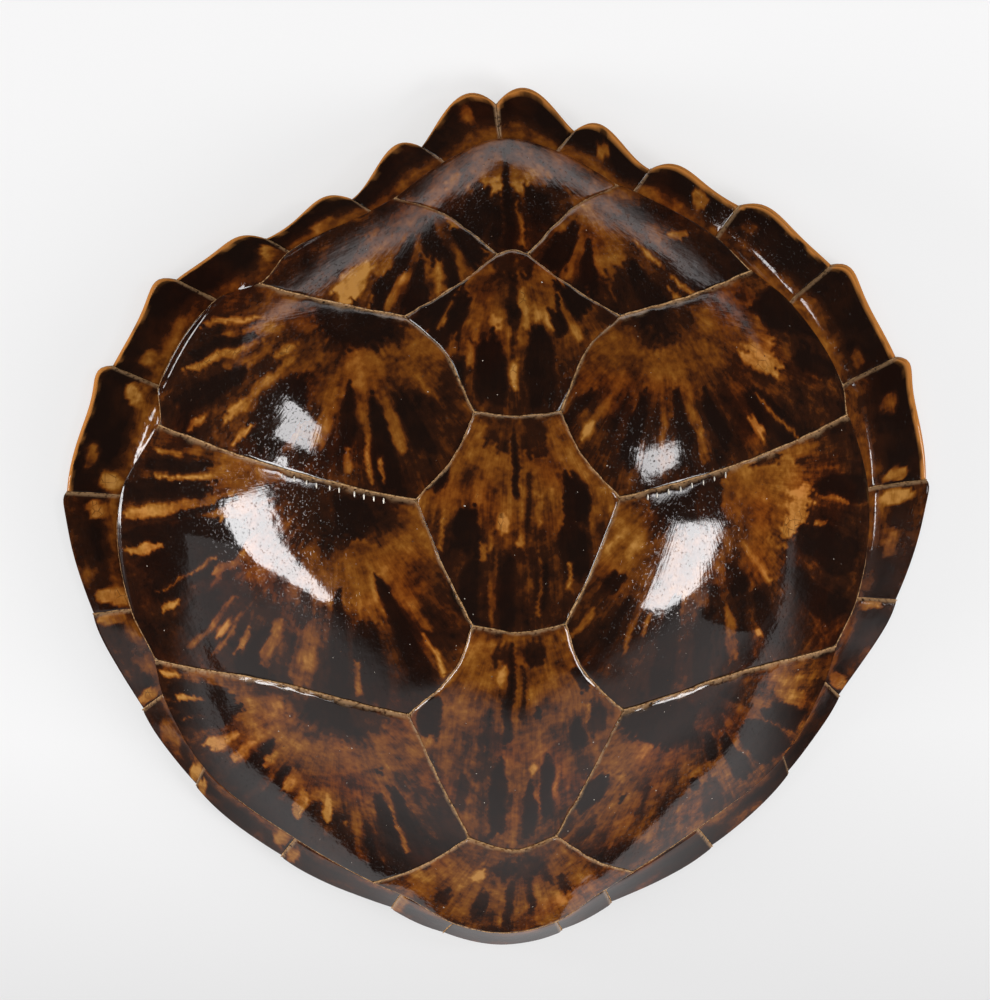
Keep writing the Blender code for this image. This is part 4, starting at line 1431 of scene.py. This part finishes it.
grow(lacquer_beads, bead_tree, {"Bead": 0.001, "Finish": lacquer})
print(len(beads), "specks and drips,", len(lacquer_beads.data.polygons), "faces")

# %% Ride, slots and what is replaced
for piece in (seam_crust, lacquer_beads):
    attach(piece, "root")
for piece in horn_pieces.values():
    piece.data.materials.append(horn)
    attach(piece, "root")
bone.data.materials.append(bone_finish)
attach(bone, "root")
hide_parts("carapace")

# %% [markdown]
# ## The floor
# The shell lies on a pale grey sheet of paper. Part of its brightness is emission, which keeps the shell's
# shadow on it faint, and that emission is painted shade, a little darker towards the head. It is hidden
# from glossy rays, because a big pale sheet would turn the whole of the lacquer grey.

# %% Floor
FLOOR_REACH = 6.0  # m
FLOOR_HEAD, FLOOR_TAIL = -0.37, 0.25  # where the shading of the paper starts and ends, m
PAINTED_FLOOR_SHADE = [(0.0, (0.74, 0.74, 0.74)), (0.35, (1.0, 1.0, 1.0)), (1.0, (0.99, 0.99, 0.99))]
floor_mesh = bpy.data.meshes.new("floor")
floor_corners = [(FLOOR_REACH * x, FLOOR_REACH * y, 0) for x, y in ((-1, -1), (1, -1), (1, 1), (-1, 1))]
floor_mesh.from_pydata(floor_corners, [], [(0, 1, 2, 3)])
floor = in_scene("floor", floor_mesh)
paper, tree, shader = plain("paper", (0.30, 0.30, 0.301), 0.9)
shader.inputs["Specular IOR Level"].default_value = 0.0
shader.inputs["Emission Strength"].default_value = 0.60
to_tail = add(tree, "ShaderNodeSeparateXYZ", Vector=place_in(tree)).outputs[1]
# painted shade: the floor's emission is darker towards the head
grey = ramp(tree, ranged(tree, to_tail, FLOOR_HEAD, FLOOR_TAIL), PAINTED_FLOOR_SHADE)
tree.links.new(grey, shader.inputs["Emission Color"])
floor_mesh.materials.append(paper)
floor.visible_glossy = False

# %% [markdown]
# ## The lights
# Lacquer is a mirror, so what it shows is the studio round it. Each light is a plain rectangle that glows,
# because its shape and its edges can be seen in the shell. Four softboxes far off at the sides give the
# long bright patches on the shoulders. Three dim cards on or near the floor give the pale veil on the
# front and the tail, and fade out at their borders, where a hard edge would show. Two flags stand between
# the softboxes and the brim. The left one glows as dimly as the cards, so it leaves no hole in the veil.
# The world lights the shell softly from all round, but it is hidden from glossy rays, like the floor.

# %% The world
world = bpy.data.worlds.new("studio")
bpy.context.scene.world = world
world.use_nodes = True
world.node_tree.nodes["Background"].inputs["Color"].default_value = (1, 1, 1, 1)
world.node_tree.nodes["Background"].inputs["Strength"].default_value = 0.5
world.cycles_visibility.glossy = False
bpy.context.scene.view_settings.view_transform = "Standard"


# %% A glowing rectangle, as a near card or as a far softbox
def glowing_sheet(name, corners, radiance, fade):
    """A flat light with four corners, dimmer at its borders over a share of its width."""
    mesh = bpy.data.meshes.new(name)
    mesh.from_pydata([Vector(c) for c in corners], [], [(0, 1, 2, 3)])
    chart = mesh.uv_layers.new(name="chart")
    unit = ((0, 0), (1, 0), (1, 1), (0, 1)) if fade else [(0.5, 0.5)] * 4
    for corner, uv in zip(chart.data, unit):
        corner.uv = uv
    cloth, tree, shader = plain(name, (0, 0, 0), 1.0)
    shader.inputs["Specular IOR Level"].default_value = 0.0
    shader.inputs["Emission Color"].default_value = (1, 0.99, 1, 1)
    place = add(tree, "ShaderNodeSeparateXYZ", Vector=add(tree, "ShaderNodeTexCoord").outputs["UV"])
    borders = []
    for here in place.outputs[:2]:
        borders.append(maths(tree, "MINIMUM", here, maths(tree, "SUBTRACT", 1.0, here)))
    inside_by = maths(tree, "MINIMUM", *borders)
    strength = add(tree, "ShaderNodeMapRange", {"interpolation_type": "SMOOTHSTEP"},
                   Value=inside_by, i1=0.0, i2=max(fade, 0.01), i3=0.0, i4=radiance).outputs[0]
    tree.links.new(strength, shader.inputs["Emission Strength"])
    mesh.materials.append(cloth)
    made = in_scene(name, mesh)
    made.visible_camera = False
    return made


def card(name, corner, first, second, radiance, fade):
    """A dim card that is only seen in the lacquer, given by a corner and its two sides."""
    corner, first, second = Vector(corner), Vector(first), Vector(second)
    corners = (corner, corner + first, corner + first + second, corner + second)
    made = glowing_sheet(name, corners, radiance, fade)
    made.visible_diffuse = False
    made.visible_shadow = False
    return made


BOX_AWAY = 9.0  # so far off that all parts of the shell see a box in the same direction, m


def softbox(name, seen_from, aim, size, roll, radiance):
    """A plain far softbox. Its azimuth from the tail, elevation, width, height and roll are in degrees."""
    azimuth, elevation = (math.radians(v) for v in aim)
    flat = math.cos(elevation)
    way = Vector((math.sin(azimuth) * flat, math.cos(azimuth) * flat, math.sin(elevation)))
    level = Vector((math.cos(azimuth), -math.sin(azimuth), 0))
    level.rotate(Quaternion(way, math.radians(roll)))
    half_wide, half_high = (BOX_AWAY * math.tan(math.radians(v) / 2) for v in size)
    across, up = level * half_wide, way.cross(level).normalized() * half_high
    middle = Vector(seen_from) + BOX_AWAY * way
    corners = (middle - across - up, middle + across - up, middle + across + up, middle - across + up)
    return glowing_sheet(name, corners, radiance, 0.0)


# %% Softboxes, cards and flags
LEFT_BACK, RIGHT_BACK = (-0.13, 0.0, 0.13), (0.11, 0.02, 0.14)  # the shoulders that see the boxes, m
# name, seen from, azimuth and elevation, width and height, roll, radiance
BOXES = [
    ("left_box", LEFT_BACK, (-100, 18), (36, 12), 25, 17),
    ("right_box", RIGHT_BACK, (108, 30), (24, 18), -10, 17),
    ("left_strip", LEFT_BACK, (-70, 16), (12, 12), 0, 13),
    ("right_strip", RIGHT_BACK, (73, 38), (6, 14), 0, 13),
]
# name, corner, first side and second side in m, radiance, share of the width over which it fades
CARDS = [
    ("front_card", (-1.6, -0.40, 0.0), (3.2, 0, 0), (0, 0, 0.55), 0.60, 0.30),
    ("front_sheet", (-1.7, -1.3, 0.004), (0, 1.15, 0), (3.4, 0, 0), 0.60, 0.16),
    ("rear_sheet", (-0.9, 0.33, 0.004), (0, 1.6, 0), (1.8, 0, 0), 1.8, 0.16),
    # flags keep the two boxes out of the brim, and stand too low to be seen by the back
    ("right_flag", (0.40, -0.20, 0.085), (0, 0.34, 0), (0, 0, 0.145), 0.0, 0.0),
    ("left_flag", (-0.40, -0.26, 0.055), (0, 0.24, 0), (0, 0, 0.085), 0.55, 0.0),
]
for box in BOXES:
    softbox(*box)
for sheet in CARDS:
    card(*sheet)
print(len(BOXES), "softboxes,", len(CARDS), "cards and flags")

# %% [markdown]
# ## The camera
# The camera hangs two metres over the shell and looks almost straight down. It stands twelve degrees
# towards the tail and four to the left, so the slope down to the tail is seen more squarely than the
# front. A long lens from far off keeps the outline nearly as it is in plan.

# %% Camera
CAMERA_LEAN, CAMERA_TURN = math.radians(12), math.radians(4)  # towards the tail, and to the left
CAMERA_AWAY = 2.0  # m
AIM = Vector((0, 0.007, 0))
flat = math.cos(CAMERA_TURN)
back = Vector((-math.sin(CAMERA_TURN), math.sin(CAMERA_LEAN) * flat, math.cos(CAMERA_LEAN) * flat))
back.normalize()
lens = bpy.data.cameras.new("camera")
lens.sensor_width = 36.0
lens.lens = 104.35
lens.shift_x = -0.005
lens.shift_y = 0.012
camera = in_scene("camera", lens)
right = Vector((0, 1, 0)).cross(back).normalized()
up = back.cross(right)
turned = Matrix((right, up, back)).transposed().to_4x4()
camera.matrix_world = Matrix.Translation(AIM + CAMERA_AWAY * back) @ turned
bpy.context.scene.camera = camera
